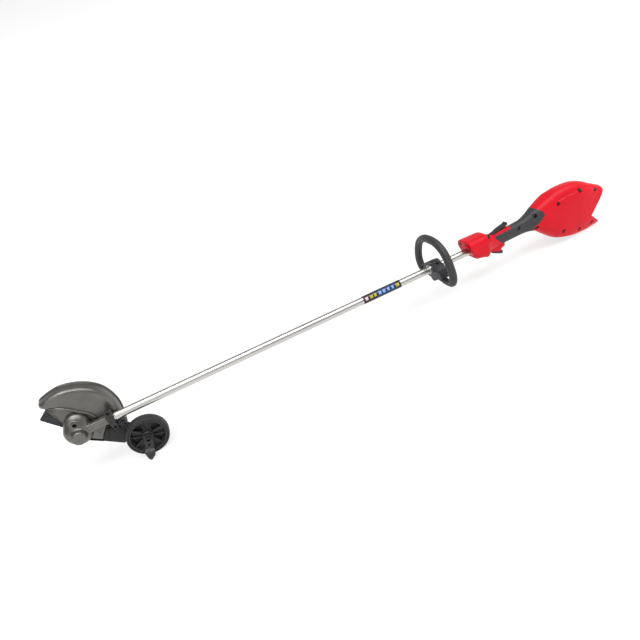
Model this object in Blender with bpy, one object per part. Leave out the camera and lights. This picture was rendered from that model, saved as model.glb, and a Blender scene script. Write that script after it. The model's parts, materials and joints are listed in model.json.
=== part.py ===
"""Battery stick lawn edger, lying on its wheel and on the flat foot of its power head.

Everything is designed in the shaft frame, in millimetres: X runs up the shaft from the
blade's arbor to the power head, Y runs across the tool towards the blade side, and Z
points away from the ground. One empty, "tool", tips that frame onto the floor.
"""
import math

import bmesh
import bpy
from mathutils import Vector

MM = 0.001                 # Blender's metres in one millimetre
GAP = 0.3                  # clearance between touching pieces
ROUND = 32                 # sides of a large turned piece
FINE = 20                  # sides of a small turned piece

# shaft and drive line
TUBE_R = 12.0
TUBE_WALL = 1.5
TUBE_START = 62.0
TUBE_END = 1332.0
ROD_R = 3.5
BUSH_LENGTH = 18.0
BUSH_PLACES = (250.0, 780.0, 1300.0)
LABEL = (889.0, 1020.0)

# bevel gears: apex where the shaft meets the arbor
MODULE = 1.5
PINION_TEETH = 12
GEAR_TEETH = 18
GEAR_FACE = 6.0
ADDENDUM = 0.75 * MODULE
DEDENDUM = 1.15 * MODULE

# gear case
CASE_BORE = 16.5
BOSS_R = 20.0
CASE_LOW = (-4.0, 0.0)      # the case is a hull about these two centres
CASE_HIGH = (2.0, 22.0)
NECK_R = 14.2
NECK_END = 99.0
SPINDLE_R = 5.0

# blade and guard
BLADE_LENGTH = 203.0
BLADE_WIDTH = 50.8
BLADE_NEAR = 38.6
BLADE_THICK = 2.8
BLADE_ANGLE = math.radians(127.5)
GUARD_PANEL = 13.6         # outer face of the guard's flat panel
GUARD_RECESS = 15.4        # outer face of the lower plate
GUARD_WALL = 2.3

# wheel, its arm and the depth lever
WHEEL_CENTRE = (155.6, -83.0)
WHEEL_R = 59.5
TYRE_INNER = 53.8
WHEEL_NEAR = -42.0
WHEEL_FAR = -12.0
ARM_PIVOT = (110.5, -30.5)
CLAMP_BOLTS = ((92.0, 25.5), (91.0, -21.5))
LEVER_TIP = (138.0, -139.3)

# loop handle
LOOP_X = 1151.0
LOOP_R = 12.5

# power head
SHELL_WALL = 3.2
FRONT_START = 1262.0
FRONT_END = 1378.0
GRIP_END = 1532.0
REAR_END = 1790.0
TRIGGER_PIVOT = (1360.0, -24.0)
LOCK_PIVOT = (1366.0, 18.5)
FOOT = (1715.0, -102.7)    # centre of the flat foot
BAY_CORNER = Vector((1728.0, -50.5))
BAY_UP = Vector((0.681, 0.732)).normalized()
BAY_DOWN = Vector((0.725, -0.689)).normalized()

# tilt that puts the wheel and the foot on one floor line
FLOOR_SPAN = FOOT[0] - WHEEL_CENTRE[0]
FLOOR_RISE = WHEEL_CENTRE[1] - FOOT[1]
TILT = (math.asin(WHEEL_R / math.hypot(FLOOR_SPAN, FLOOR_RISE))
        - math.atan2(FLOOR_RISE, FLOOR_SPAN))

# colour, roughness, metallic
FINISHES = {
    "cast_grey": ((0.20, 0.19, 0.175), 0.42, 0.6),
    "dark_casting": ((0.08, 0.08, 0.08), 0.45, 0.5),
    "alloy": ((0.83, 0.83, 0.82), 0.25, 1.0),
    "steel": ((0.55, 0.55, 0.56), 0.3, 1.0),
    "dark_steel": ((0.07, 0.07, 0.075), 0.45, 0.7),
    "red_shell": ((0.72, 0.02, 0.03), 0.38, 0.0),
    "grip_rubber": ((0.09, 0.095, 0.10), 0.6, 0.0),
    "black_plastic": ((0.05, 0.05, 0.055), 0.5, 0.0),
    "wheel_plastic": ((0.06, 0.06, 0.062), 0.5, 0.0),
    "tyre": ((0.045, 0.045, 0.047), 0.75, 0.0),
    "rubber": ((0.03, 0.03, 0.032), 0.8, 0.0),
    "copper": ((0.72, 0.36, 0.18), 0.35, 1.0),
    "label": ((0.03, 0.03, 0.03), 0.4, 0.0),
    "board": ((0.03, 0.16, 0.08), 0.5, 0.0),
}


# ---------------------------------------------------------------- scene and objects

def clear_scene():
    for old in list(bpy.data.objects):
        bpy.data.objects.remove(old, do_unlink=True)


def make_materials():
    made = {}
    for name, (colour, roughness, metallic) in FINISHES.items():
        material = bpy.data.materials.new(name)
        material.use_nodes = True
        shader = material.node_tree.nodes["Principled BSDF"]
        shader.inputs["Base Color"].default_value = (*colour, 1.0)
        shader.inputs["Roughness"].default_value = roughness
        shader.inputs["Metallic"].default_value = metallic
        made[name] = material
    return made


class Tool:
    """Makes the named objects, all of them children of one empty."""

    def __init__(self):
        self.frame = bpy.data.objects.new("tool", None)
        bpy.context.collection.objects.link(self.frame)
        self.materials = make_materials()

    def solid(self, name, rings, finish, closed=False, pivot=(0, 0, 0), smooth=35):
        """A closed body through the rings, with its origin at the pivot."""
        centre = Vector(pivot)
        bm = bmesh.new()
        rows = [[bm.verts.new((Vector(p) - centre) * MM) for p in ring] for ring in rings]
        pairs = list(zip(rows, rows[1:]))
        if closed:
            pairs.append((rows[-1], rows[0]))
        for low, high in pairs:
            bridge(bm, low, high)
        if not closed:
            for row in (rows[0], rows[-1]):
                if len(row) > 2:
                    bm.faces.new(row)
        bmesh.ops.recalc_face_normals(bm, faces=bm.faces)
        mesh = bpy.data.meshes.new(name)
        bm.to_mesh(mesh)
        bm.free()
        mesh.materials.append(self.materials[finish])
        mesh.shade_smooth()
        mesh.set_sharp_from_angle(angle=math.radians(smooth))
        made = bpy.data.objects.new(name, mesh)
        bpy.context.collection.objects.link(made)
        made.parent = self.frame
        made.location = centre * MM
        return made

    def helper(self, name, rings, closed=False):
        """A shape that only cuts, joins or trims another one."""
        made = self.solid(name, rings, "steel", closed)
        hide(made)
        return made

    def turned(self, name, profile, finish, line=(0, 0, 0), axis="X", sides=FINE,
               closed=False, pivot=None):
        """A body turned about a line along X, Y or Z; the profile is (along, radius)."""
        rings = turned_rings(profile, line, axis, sides)
        return self.solid(name, rings, finish, closed, pivot or line)

    def bar(self, name, outline, low, high, finish, pivot=(0, 0, 0)):
        """An X-Z outline drawn out along Y."""
        return self.solid(name, plate_rings(outline, low, high), finish, pivot=pivot)


def bridge(bm, low, high):
    if len(low) == 1 and len(high) == 1:
        return
    if len(low) == 1 or len(high) == 1:
        pole, row = (low[0], high) if len(low) == 1 else (high[0], low)
        for a, b in zip(row, row[1:] + row[:1]):
            bm.faces.new((pole, a, b))
        return
    count = len(low)
    for i in range(count):
        j = (i + 1) % count
        bm.faces.new((low[i], low[j], high[j], high[i]))


def hide(cutter):
    cutter.hide_render = True
    cutter.display_type = "WIRE"


def combine(target, other, operation):
    modifier = target.modifiers.new(f"{operation}_{other.name}", "BOOLEAN")
    modifier.operation = operation
    modifier.object = other
    modifier.solver = "EXACT"


def cut(target, *others):
    for other in others:
        combine(target, other, "DIFFERENCE")


def join(target, *others):
    for other in others:
        hide(other)
        combine(target, other, "UNION")


def keep(target, other):
    combine(target, other, "INTERSECT")


# ---------------------------------------------------------------- shapes

def on_axis(axis, line, along, across, up):
    x, y, z = line
    if axis == "X":
        return (x + along, y + across, z + up)
    if axis == "Y":
        return (x + across, y + along, z + up)
    return (x + across, y + up, z + along)


def turned_rings(profile, line, axis, sides):
    rings = []
    for along, radius in profile:
        if radius == 0:
            rings.append([on_axis(axis, line, along, 0, 0)])
            continue
        ring = []
        for i in range(sides):
            turn = 2 * math.pi * i / sides
            ring.append(on_axis(axis, line, along, radius * math.cos(turn),
                                radius * math.sin(turn)))
        rings.append(ring)
    return rings


def tube_profile(start, end, inner, outer):
    return [(start, inner), (start, outer), (end, outer), (end, inner)]


def nut_rings(start, end, bore, corner_radius, line, axis):
    """A hexagon nut with a round bore, as four rings of a closed loop."""
    rings = []
    for along, outside in ((start, False), (start, True), (end, True), (end, False)):
        ring = []
        for i in range(FINE):
            turn = 2 * math.pi * i / FINE
            from_flat = (turn % (math.pi / 3)) - math.pi / 6
            hexagon = corner_radius * math.cos(math.pi / 6) / math.cos(from_flat)
            radius = hexagon if outside else bore
            ring.append(on_axis(axis, line, along, radius * math.cos(turn),
                                radius * math.sin(turn)))
        rings.append(ring)
    return rings


def rod_profile(start, end, radius):
    return [(start, 0), (start, radius), (end, radius), (end, 0)]


def plate_rings(outline, low, high):
    return [[(x, y, z) for x, z in outline] for y in (low, high)]


def box_rings(low, high):
    outline = [(low[0], low[2]), (high[0], low[2]), (high[0], high[2]), (low[0], high[2])]
    return plate_rings(outline, low[1], high[1])


def arc(centre, radius, first, last, count):
    """Points on an arc, with the angles in degrees."""
    points = []
    for i in range(count):
        turn = math.radians(first + (last - first) * i / (count - 1))
        points.append((centre[0] + radius * math.cos(turn),
                       centre[1] + radius * math.sin(turn)))
    return points


def rounded_ring(x, low, high, half_width, squareness, count=28):
    """A super-ellipse across the shaft, from low to high in Z."""
    middle = (low + high) / 2
    half_height = (high - low) / 2
    ring = []
    for i in range(count):
        turn = 2 * math.pi * (i + 0.5) / count
        side, up = math.cos(turn), math.sin(turn)
        power = 2 / squareness
        ring.append((x, math.copysign(abs(side) ** power, side) * half_width,
                     middle + math.copysign(abs(up) ** power, up) * half_height))
    return ring


def smooth_path(points, steps):
    """Catmull-Rom points through the given ones."""
    path = []
    last = len(points) - 1
    for i in range(last):
        before = points[max(i - 1, 0)]
        after = points[min(i + 2, last)]
        for step in range(steps):
            t = step / steps
            path.append(tuple(
                0.5 * (2 * b + (c - a) * t + (2 * a - 5 * b + 4 * c - d) * t ** 2
                       + (3 * b - a - 3 * c + d) * t ** 3)
                for a, b, c, d in zip(before, points[i], points[i + 1], after)))
    path.append(points[-1])
    return path


def swept_rings(path, radius, sides):
    """Rings of a round bar along a path that lies in a plane across the shaft."""
    rings = []
    for i, point in enumerate(path):
        ahead = Vector(path[min(i + 1, len(path) - 1)]) - Vector(path[max(i - 1, 0)])
        across = ahead.normalized().cross(Vector((1, 0, 0)))
        ring = []
        for k in range(sides):
            turn = 2 * math.pi * k / sides
            offset = across * math.cos(turn) + Vector((1, 0, 0)) * math.sin(turn)
            ring.append(tuple(Vector(point) + offset * radius))
        rings.append(ring)
    return rings


# ---------------------------------------------------------------- bevel gears

def bevel_rings(teeth, mate_teeth, axis, side, bore, hub, phase):
    """Rings of a straight bevel gear whose cone's point is the frame's origin."""
    cone = math.atan2(teeth, mate_teeth)
    reach = 0.5 * MODULE * math.hypot(teeth, mate_teeth)
    tip = cone + math.atan2(ADDENDUM, reach)
    root = cone - math.atan2(DEDENDUM, reach)
    steps = [(root, -0.31), (tip, -0.13), (tip, 0.13), (root, 0.31)]

    def tooth_ring(distance):
        ring = []
        for k in range(teeth):
            for angle, share in steps:
                turn = 2 * math.pi * (k + share) / teeth + phase
                radius = distance * math.sin(angle)
                ring.append(on_axis(axis, (0, 0, 0), side * distance * math.cos(angle),
                                    radius * math.cos(turn), radius * math.sin(turn)))
        return ring

    def plain_ring(along, radius):
        ring = []
        for k in range(teeth):
            for _, share in steps:
                turn = 2 * math.pi * (k + share) / teeth + phase
                ring.append(on_axis(axis, (0, 0, 0), side * along,
                                    radius * math.cos(turn), radius * math.sin(turn)))
        return ring

    toe = (reach - GEAR_FACE) * math.cos(cone)
    heel = reach * math.cos(root)
    back = heel + 5.0
    return [plain_ring(toe, bore), tooth_ring(reach - GEAR_FACE), tooth_ring(reach),
            plain_ring(heel + 1.0, hub), plain_ring(back, hub), plain_ring(back, bore)]


# ---------------------------------------------------------------- edger head

def case_ring(y, low_radius, high_radius, share):
    """Outline of the gear case: a hull of two circles, share of the way between centres."""
    steps = 8
    ring = []
    for i in range(ROUND):
        turn = 2 * math.pi * i / ROUND
        ray = Vector((math.cos(turn), math.sin(turn)))
        reach = 0.0
        for step in range(steps + 1):
            t = step / steps
            centre = Vector(CASE_LOW).lerp(Vector(CASE_HIGH), t) * share
            radius = low_radius + (high_radius - low_radius) * t
            along = ray.dot(centre)
            inside = radius ** 2 - centre.length_squared + along ** 2
            reach = max(reach, along + math.sqrt(inside)) if inside > 0 else reach
        ring.append((ray.x * reach, y, ray.y * reach))
    return ring


def make_gear_case(tool):
    near = turned_rings([(-33, CASE_BORE), (-33, BOSS_R - 1.5), (-31, BOSS_R), (-18, BOSS_R + 1)],
                        (0, 0, 0), "Y", ROUND)
    far = turned_rings([(GUARD_PANEL - GAP, 24.2), (21, 24.2), (21, CASE_BORE)],
                       (0, 0, 0), "Y", ROUND)
    sections = [(-15.5, 23.5, 22, 0.1), (-12.5, 28, 24, 0.35), (-8, 33, 26, 0.65),
                (-2, 36.5, 30, 0.85), (5, 39, 32.5, 1.0), (GUARD_PANEL - GAP, 40, 34, 1.0)]
    rings = near + [case_ring(*section) for section in sections] + far
    case = tool.solid("gear_case", rings, "cast_grey", closed=True)
    web = [(12, -30), (20, -41.5), (36, -53.5), (63, -22), (76, -2), (78, 8), (20, 8)]
    join(case, tool.helper("gear_case_web", plate_rings(web, 3, GUARD_PANEL - GAP)))
    join(case, tool.helper("gear_case_neck", turned_rings(
        [(17.5, 0), (17.5, NECK_R), (NECK_END, NECK_R), (NECK_END, 0)], (0, 0, 0), "X", FINE)))
    bore = tool.helper("gear_case_bore", turned_rings(
        rod_profile(5, NECK_END + 5, TUBE_R + GAP), (0, 0, 0), "X", FINE))
    cut(case, bore)
    tool.turned("gear_case_cap", [(-36, 0), (-36, 13), (-34.5, 16), (-30.5, 16.1), (-30.5, 0)],
                "cast_grey", axis="Y", sides=ROUND)


def make_arbor(tool):
    for name, start in (("near_spindle_bearing", -29.5), ("far_spindle_bearing", 11.5)):
        tool.turned(name, tube_profile(start, start + 7, SPINDLE_R + GAP, CASE_BORE - GAP),
                    "steel", axis="Y", closed=True)
    tool.turned("spindle_seal", tube_profile(18.9, 22.5, SPINDLE_R + GAP, CASE_BORE - GAP),
                "rubber", axis="Y", closed=True)
    tool.solid("bevel_gear", bevel_rings(GEAR_TEETH, PINION_TEETH, "Y", -1,
                                         SPINDLE_R + GAP, 9.5, 0.0), "steel", closed=True)
    tool.turned("blade_spindle", [(-30, 0), (-30, SPINDLE_R), (52, SPINDLE_R),
                                  (53.5, SPINDLE_R - 1.2), (53.5, 0)], "steel", axis="Y")
    tool.turned("inner_flange", [(24, SPINDLE_R + GAP), (24, 13), (33, 13), (34.5, 20),
                                 (BLADE_NEAR - GAP, 20), (BLADE_NEAR - GAP, SPINDLE_R + GAP)],
                "steel", axis="Y", sides=ROUND, closed=True)
    blade_far = BLADE_NEAR + BLADE_THICK
    blade = tool.solid("edger_blade", plate_rings(blade_outline(), BLADE_NEAR, blade_far),
                       "dark_steel")
    cut(blade, tool.helper("blade_arbor_hole", turned_rings(
        rod_profile(BLADE_NEAR - 5, blade_far + 5, SPINDLE_R + GAP), (0, 0, 0), "Y", FINE)))
    tool.turned("outer_flange", [(blade_far + GAP, SPINDLE_R + GAP), (blade_far + GAP, 17),
                                 (blade_far + 2, 17), (blade_far + 3.5, 13),
                                 (blade_far + 3.5, SPINDLE_R + GAP)],
                "steel", axis="Y", sides=ROUND, closed=True)
    tool.solid("blade_nut", nut_rings(blade_far + 3.8, blade_far + 9.8, SPINDLE_R + GAP, 8.7,
                                      (0, 0, 0), "Y"), "steel", closed=True)


def blade_outline():
    """A rectangle with snipped corners, turned to the rest angle."""
    length, width, snip = BLADE_LENGTH / 2, BLADE_WIDTH / 2, 3.0
    corners = [(length - snip, width), (length, width - snip),
               (length, snip - width), (length - snip, -width)]
    corners += [(-x, -z) for x, z in corners]
    along, across = math.cos(BLADE_ANGLE), math.sin(BLADE_ANGLE)
    return [(x * along - z * across, x * across + z * along) for x, z in corners]


# edges of the guard's pan, from its front tip to its rear corner
PAN_TOP = [(-60, 47, 108), (-57.5, 48, 114.5), (-50, 49, 121), (-24, 49, 129), (4, 49, 133),
           (32, 49, 129), (61, 49, 118), (86, 49, 101), (105, 49, 79), (117, 49, 50),
           (122, 49, 22), (121, 49, -4), (116, 49, -30), (110, 48, -56)]
PAN_LOW = [(-60, 47, 108), (-60.5, 47, 101), (-55, 44, 96), (-43, 33, 93), (-19, 18, 86),
           (4, GUARD_PANEL, 71), (24, GUARD_PANEL, 52.5), (39, GUARD_PANEL, 38.5),
           (47, GUARD_PANEL, 27), (51, GUARD_PANEL, 16), (54, GUARD_PANEL, -8),
           (63, GUARD_PANEL, -36), (84, 24, -58), (110, 48, -56)]
# drop from the rim at distances in from the upper edge, as a share of the wall's height
PAN_WALL = [(0.0, 1.0), (0.2, 0.9), (3.4, 0.88), (4.2, 0.78), (4.9, 0.4), (6.0, 0.2),
            (8.0, 0.1), (11.0, 0.03), (15.0, 0.0)]
LOW_WALL = [(15.0, 0.0), (9.0, 0.08), (5.0, 0.3), (2.5, 0.65), (0.0, 1.0)]
# the lower plate, behind the pan's lower edge
SKIRT_TOP = [(-56, 45, 97.5), (-44, 35.5, 94.5), (-19, 20, 88.5), (5, GUARD_RECESS, 73.5),
             (26, GUARD_RECESS, 54.5), (41, GUARD_RECESS, 40.5), (49.5, GUARD_RECESS, 27),
             (53.5, GUARD_RECESS, 16), (56.5, GUARD_RECESS, -8), (66, GUARD_RECESS, -35)]
SKIRT_LOW = [(-55, 43, 93), (-48, 31, 89), (-40.5, 22, 75), (-33, 18, 61),
             (-29, GUARD_RECESS, 46), (-28, GUARD_RECESS, 26), (-30, GUARD_RECESS, 0),
             (-22, GUARD_RECESS, -30), (2, GUARD_RECESS, -45), (46, GUARD_RECESS, -50)]


def pan_columns():
    """Columns of points down the pan, from its rim to its lower edge."""
    columns = []
    for top, low in zip(smooth_path(PAN_TOP, 2)[1:-1], smooth_path(PAN_LOW, 2)[1:-1]):
        top, low = Vector(top), Vector(low)
        span = Vector((low.x - top.x, 0, low.z - top.z))
        squeeze = min(1.0, span.length / 34)
        floor = GUARD_PANEL + max(0, min(top.y, low.y) - GUARD_PANEL) * (1 - squeeze)
        column = []
        for distance, share in PAN_WALL:
            place = top + span.normalized() * distance * squeeze
            column.append((place.x, floor + (top.y - floor) * share, place.z))
        for distance, share in LOW_WALL:
            place = low - span.normalized() * distance * squeeze
            column.append((place.x, floor + max(0, low.y - floor) * share, place.z))
        columns.append(column)
    return columns


def sheet(tool, name, columns):
    """A thin wall through a grid of points, thickened towards the blade."""
    made = tool.helper(name, columns[:1] + columns[-1:])
    bm = bmesh.new()
    rows = [[bm.verts.new(Vector(point) * MM) for point in column] for column in columns]
    for low, high in zip(rows, rows[1:]):
        for i in range(len(low) - 1):
            bm.faces.new((low[i], low[i + 1], high[i + 1], high[i]))
    bmesh.ops.recalc_face_normals(bm, faces=bm.faces)
    if sum(face.normal.y * face.calc_area() for face in bm.faces) > 0:
        bmesh.ops.reverse_faces(bm, faces=bm.faces)
    bm.to_mesh(made.data)
    bm.free()
    wall = made.modifiers.new("wall", "SOLIDIFY")
    wall.thickness = GUARD_WALL * MM
    wall.offset = -1
    return made


def make_guard(tool):
    guard = sheet(tool, "blade_guard", pan_columns())
    guard.hide_render = False
    guard.display_type = "TEXTURED"
    guard.data.materials.clear()
    guard.data.materials.append(tool.materials["cast_grey"])
    columns = []
    for top, low in zip(smooth_path(SKIRT_TOP, 2), smooth_path(SKIRT_LOW, 2)):
        columns.append([tuple(Vector(top).lerp(Vector(low), k / 4)) for k in range(5)])
    skirt = sheet(tool, "guard_skirt", columns)
    path = [Vector((x, max(y, GUARD_PANEL + 0.4), z)) for x, y, z in smooth_path(PAN_LOW, 2)[2:19]]
    bead = tool.helper("guard_bead", swept_rings(path, 2.2, 10))
    join(guard, bead, skirt)
    cut(guard, tool.helper("guard_case_hole", turned_rings(
        rod_profile(GUARD_PANEL - 8, GUARD_PANEL + 9, 24.6), (0, 0, 0), "Y", ROUND)))
    cut(guard, tool.helper("guard_neck_groove", turned_rings(
        rod_profile(17, NECK_END + 20, NECK_R + 2 * GAP), (0, 0, 0), "X", FINE)))


def make_shaft_clamp(tool):
    near, thick = -16.5, 9.0
    plate = (arc(CLAMP_BOLTS[0], 9.5, 165, 10, 6) + [(99, 12), (97, -12)]
             + arc(CLAMP_BOLTS[1], 8.5, 20, -150, 6) + [(80, -17), (79, 14)])
    clamp = tool.bar("shaft_clamp", plate, near, near + thick, "dark_casting")
    sleeve = tool.helper("clamp_sleeve", turned_rings(
        rod_profile(80.5, 100, NECK_R + 3.6), (0, 0, 0), "X", FINE))
    keep(sleeve, tool.helper("clamp_sleeve_block", box_rings(
        (70, near + 4, -30), (110, GUARD_PANEL - GAP, 30))))
    ear = tool.helper("clamp_ear", plate_rings(
        [(84, -10), (101, -6)] + arc(ARM_PIVOT, 10.5, 45, -135, 8), -4, GUARD_PANEL - GAP))
    join(clamp, sleeve, ear)
    cut(clamp, tool.helper("clamp_bore", turned_rings(
        rod_profile(75, 115, NECK_R + GAP), (0, 0, 0), "X", FINE)))
    cut(clamp, tool.helper("clamp_pivot_hole", turned_rings(
        rod_profile(-25, 20, 3 + GAP), (ARM_PIVOT[0], 0, ARM_PIVOT[1]), "Y", FINE)))
    for number, (x, z) in enumerate(CLAMP_BOLTS, start=1):
        hole = tool.helper(f"clamp_hole_{number}", turned_rings(
            [(-25, 0), (-25, 4.6), (-13, 4.6), (-13, 2.5 + GAP), (5, 2.5 + GAP), (5, 0)],
            (x, 0, z), "Y", FINE))
        cut(clamp, hole)
        tool.turned(f"clamp_bolt_{number}",
                    [(-15.9, 0), (-15.9, 4.2), (-13 - GAP, 4.2), (-13 - GAP, 2.5), (4, 2.5),
                     (4, 0)], "dark_steel", line=(x, 0, z), axis="Y")


def make_flap(tool):
    outline = [(62, -24.5), (93, -36), (100, -43), (113, -52), (111, -80), (83, -93),
               (37.5, -56)]
    tool.bar("debris_flap", outline, -1.5, 2.0, "rubber")
    tool.bar("flap_strip", [(45, -44.5), (66, -20), (72, -24), (50, -50)], 2.0 + GAP,
             GUARD_PANEL - GAP, "dark_steel")


def make_wheel(tool):
    line = (WHEEL_CENTRE[0], 0, WHEEL_CENTRE[1])
    rim = TYRE_INNER - GAP
    disc = [(-40, 9), (-40, 15), (-36, 17), (-33, 44), (-41, 48.2), (-41, rim), (-13, rim),
            (-13, 48), (-18, 45), (-18, 17), (-15, 15), (-15, 9)]
    wheel = tool.turned("edger_wheel", disc, "wheel_plastic", line, "Y", 40, closed=True)
    for k in range(5):
        facing = 36 + 72 * k
        pocket = (arc(WHEEL_CENTRE, 43, facing - 22, facing + 22, 5)
                  + arc(WHEEL_CENTRE, 19, facing + 10, facing - 10, 3))
        cut(wheel, tool.helper(f"wheel_pocket_{k + 1}", plate_rings(pocket, -60, -21)))
    tyre = [(WHEEL_NEAR + 1, TYRE_INNER), (WHEEL_NEAR, 56), (WHEEL_NEAR + 3, WHEEL_R - 0.7),
            (WHEEL_NEAR + 9, WHEEL_R), (WHEEL_FAR - 9, WHEEL_R), (WHEEL_FAR - 3, WHEEL_R - 0.7),
            (WHEEL_FAR, 56), (WHEEL_FAR - 1, TYRE_INNER)]
    tool.turned("wheel_tyre", tyre, "tyre", line, "Y", 48, closed=True)
    tool.turned("wheel_bush", tube_profile(-41, -14, SPINDLE_R + GAP, 9 - GAP),
                "black_plastic", line, "Y", closed=True)
    tool.turned("wheel_axle", [(-53, 0), (-53, SPINDLE_R), (-11.5, SPINDLE_R), (-11.5, 3),
                               (-3, 3), (-3, 0)], "steel", line, "Y")
    tool.solid("axle_nut", nut_rings(-57, -51, SPINDLE_R + GAP, 8.7, line, "Y"), "steel",
               closed=True, pivot=line)


def make_arm(tool):
    pivot = (ARM_PIVOT[0], 0, ARM_PIVOT[1])
    line = (WHEEL_CENTRE[0], 0, WHEEL_CENTRE[1])
    outline = arc(ARM_PIVOT, 9, 35, 215, 9) + arc(WHEEL_CENTRE, 12, 215, 395, 11)
    arm = tool.bar("wheel_arm", outline, -11, -5, "black_plastic", pivot=pivot)
    cut(arm, tool.helper("arm_pivot_hole", turned_rings(
        rod_profile(-20, 5, 3 + GAP), pivot, "Y", FINE)))
    cut(arm, tool.helper("arm_axle_hole", turned_rings(
        rod_profile(-20, 5, 3 + GAP), line, "Y", FINE)))
    tool.turned("arm_pivot_bolt", [(-16.5, 0), (-16.5, 5.5), (-11 - GAP, 5.5),
                                   (-11 - GAP, 3), (6, 3), (6, 0)], "dark_steel", pivot, "Y")


def make_depth_lever(tool):
    line = (WHEEL_CENTRE[0], 0, WHEEL_CENTRE[1])
    lever = tool.turned("depth_lever", tube_profile(-50, -43.5, SPINDLE_R + GAP, 12),
                        "black_plastic", line, "Y", closed=True)
    start = Vector((WHEEL_CENTRE[0], WHEEL_CENTRE[1]))
    reach = Vector(LEVER_TIP) - start
    along = reach.normalized()
    across = Vector((-along.y, along.x))
    stations = [(8, -46.7, 11, 11, 5.5), (22, -47, 12, 12, 5), (32, -50, 11, 11, 4.6),
                (38, -57, 16, 12.3, 4.4), (47, -63, 11.5, 12.3, 4.2),
                (53.5, -65.5, 8, 6.5, 4), (reach.length, -67.5, 3.2, 3.2, 3)]
    rings = []
    for distance, y, low_side, high_side, thick in stations:
        middle = start + along * distance
        left, right = middle - across * low_side, middle + across * high_side
        rings.append([(left.x, y - thick / 2, left.y), (right.x, y - thick / 2, right.y),
                      (right.x, y + thick / 2, right.y), (left.x, y + thick / 2, left.y)])
    join(lever, tool.helper("lever_blade", rings))
    spot = start + along * 22
    cut(lever, tool.helper("lever_hole", turned_rings(
        rod_profile(-60, -40, 3.2), (spot.x, 0, spot.y), "Y", FINE)))


# ---------------------------------------------------------------- shaft

def make_shaft(tool):
    inner = TUBE_R - TUBE_WALL
    tool.turned("shaft_tube", tube_profile(TUBE_START, TUBE_END, inner, TUBE_R), "alloy",
                sides=ROUND, closed=True)
    tool.turned("label_band", tube_profile(*LABEL, TUBE_R + GAP, TUBE_R + 0.7), "label",
                sides=ROUND, closed=True)
    tool.turned("drive_shaft", rod_profile(9.5, 1562, ROD_R), "steel")
    for number, place in enumerate(BUSH_PLACES, start=1):
        tool.turned(f"shaft_bush_{number}", tube_profile(
            place, place + BUSH_LENGTH, ROD_R + GAP, inner - GAP), "black_plastic", closed=True)
    tool.turned("pinion_bearing", tube_profile(24, 32, ROD_R + GAP, TUBE_R),
                "steel", closed=True)
    tool.solid("bevel_pinion", bevel_rings(PINION_TEETH, GEAR_TEETH, "X", 1, ROD_R + GAP,
                                           6.5, pinion_phase()), "steel", closed=True)


def pinion_phase():
    """Half a tooth off the line where the pinion meets the gear."""
    return math.pi + math.pi / PINION_TEETH


# ---------------------------------------------------------------- loop handle

def make_loop_handle(tool):
    base_half = 24.0
    side = [(-base_half - 1.5, -30), (-62, -34), (-88, -27), (-97.5, -6), (-95.5, 18),
            (-86, 45), (-67, 73), (-36, 90.5)]
    points = side + [(0, 95)] + [(-y, z) for y, z in reversed(side)]
    path = smooth_path([(LOOP_X, y, z) for y, z in points], 2)
    tool.solid("loop_handle", swept_rings(path, LOOP_R, 12), "grip_rubber")
    low, high = LOOP_X - 15, LOOP_X + 15
    shoulder = [(base_half, -34), (base_half, -16), (52, -16), (47, -GAP)]
    base_outline = [(-y, z) for y, z in reversed(shoulder)]
    base_outline += arc((0, -30), 14, 200, 340, 7) + shoulder
    base = tool.solid("handle_base", [[(x, y, z) for y, z in base_outline]
                                      for x in (low, high)], "black_plastic")
    slope = [(46, GAP), (42, 6), (26, 15)]
    cap_outline = slope + arc((0, 6), 19, 55, 125, 6) + [(-y, z) for y, z in reversed(slope)]
    cap = tool.solid("handle_cap", [[(x, y, z) for y, z in cap_outline]
                                    for x in (low, high)], "black_plastic")
    for piece, tag in ((base, "base"), (cap, "cap")):
        cut(piece, tool.helper(f"handle_bore_{tag}", turned_rings(
            rod_profile(low - 5, high + 5, TUBE_R + GAP), (0, 0, 0), "X", ROUND)))
    for number, y in enumerate((-18.5, 18.5), start=1):
        line = (LOOP_X, y, 0)
        shank = tool.helper(f"handle_bolt_hole_{number}", turned_rings(
            [(-20, 0), (-20, 2.5 + GAP), (9, 2.5 + GAP), (9, 4.5 + GAP), (30, 4.5 + GAP),
             (30, 0)], line, "Z", 16))
        cut(cap, shank)
        cut(base, shank)
        tool.turned(f"handle_bolt_{number}", [(-19, 0), (-19, 2.5), (9 + GAP, 2.5),
                                              (9 + GAP, 4.5), (13.5, 4.5), (13.5, 0)],
                    "steel", line, "Z")
    tool.turned("clamp_spacer", tube_profile(low - 10, low - GAP, TUBE_R + GAP, 14.6),
                "alloy", sides=ROUND, closed=True)


# ---------------------------------------------------------------- power head

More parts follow.
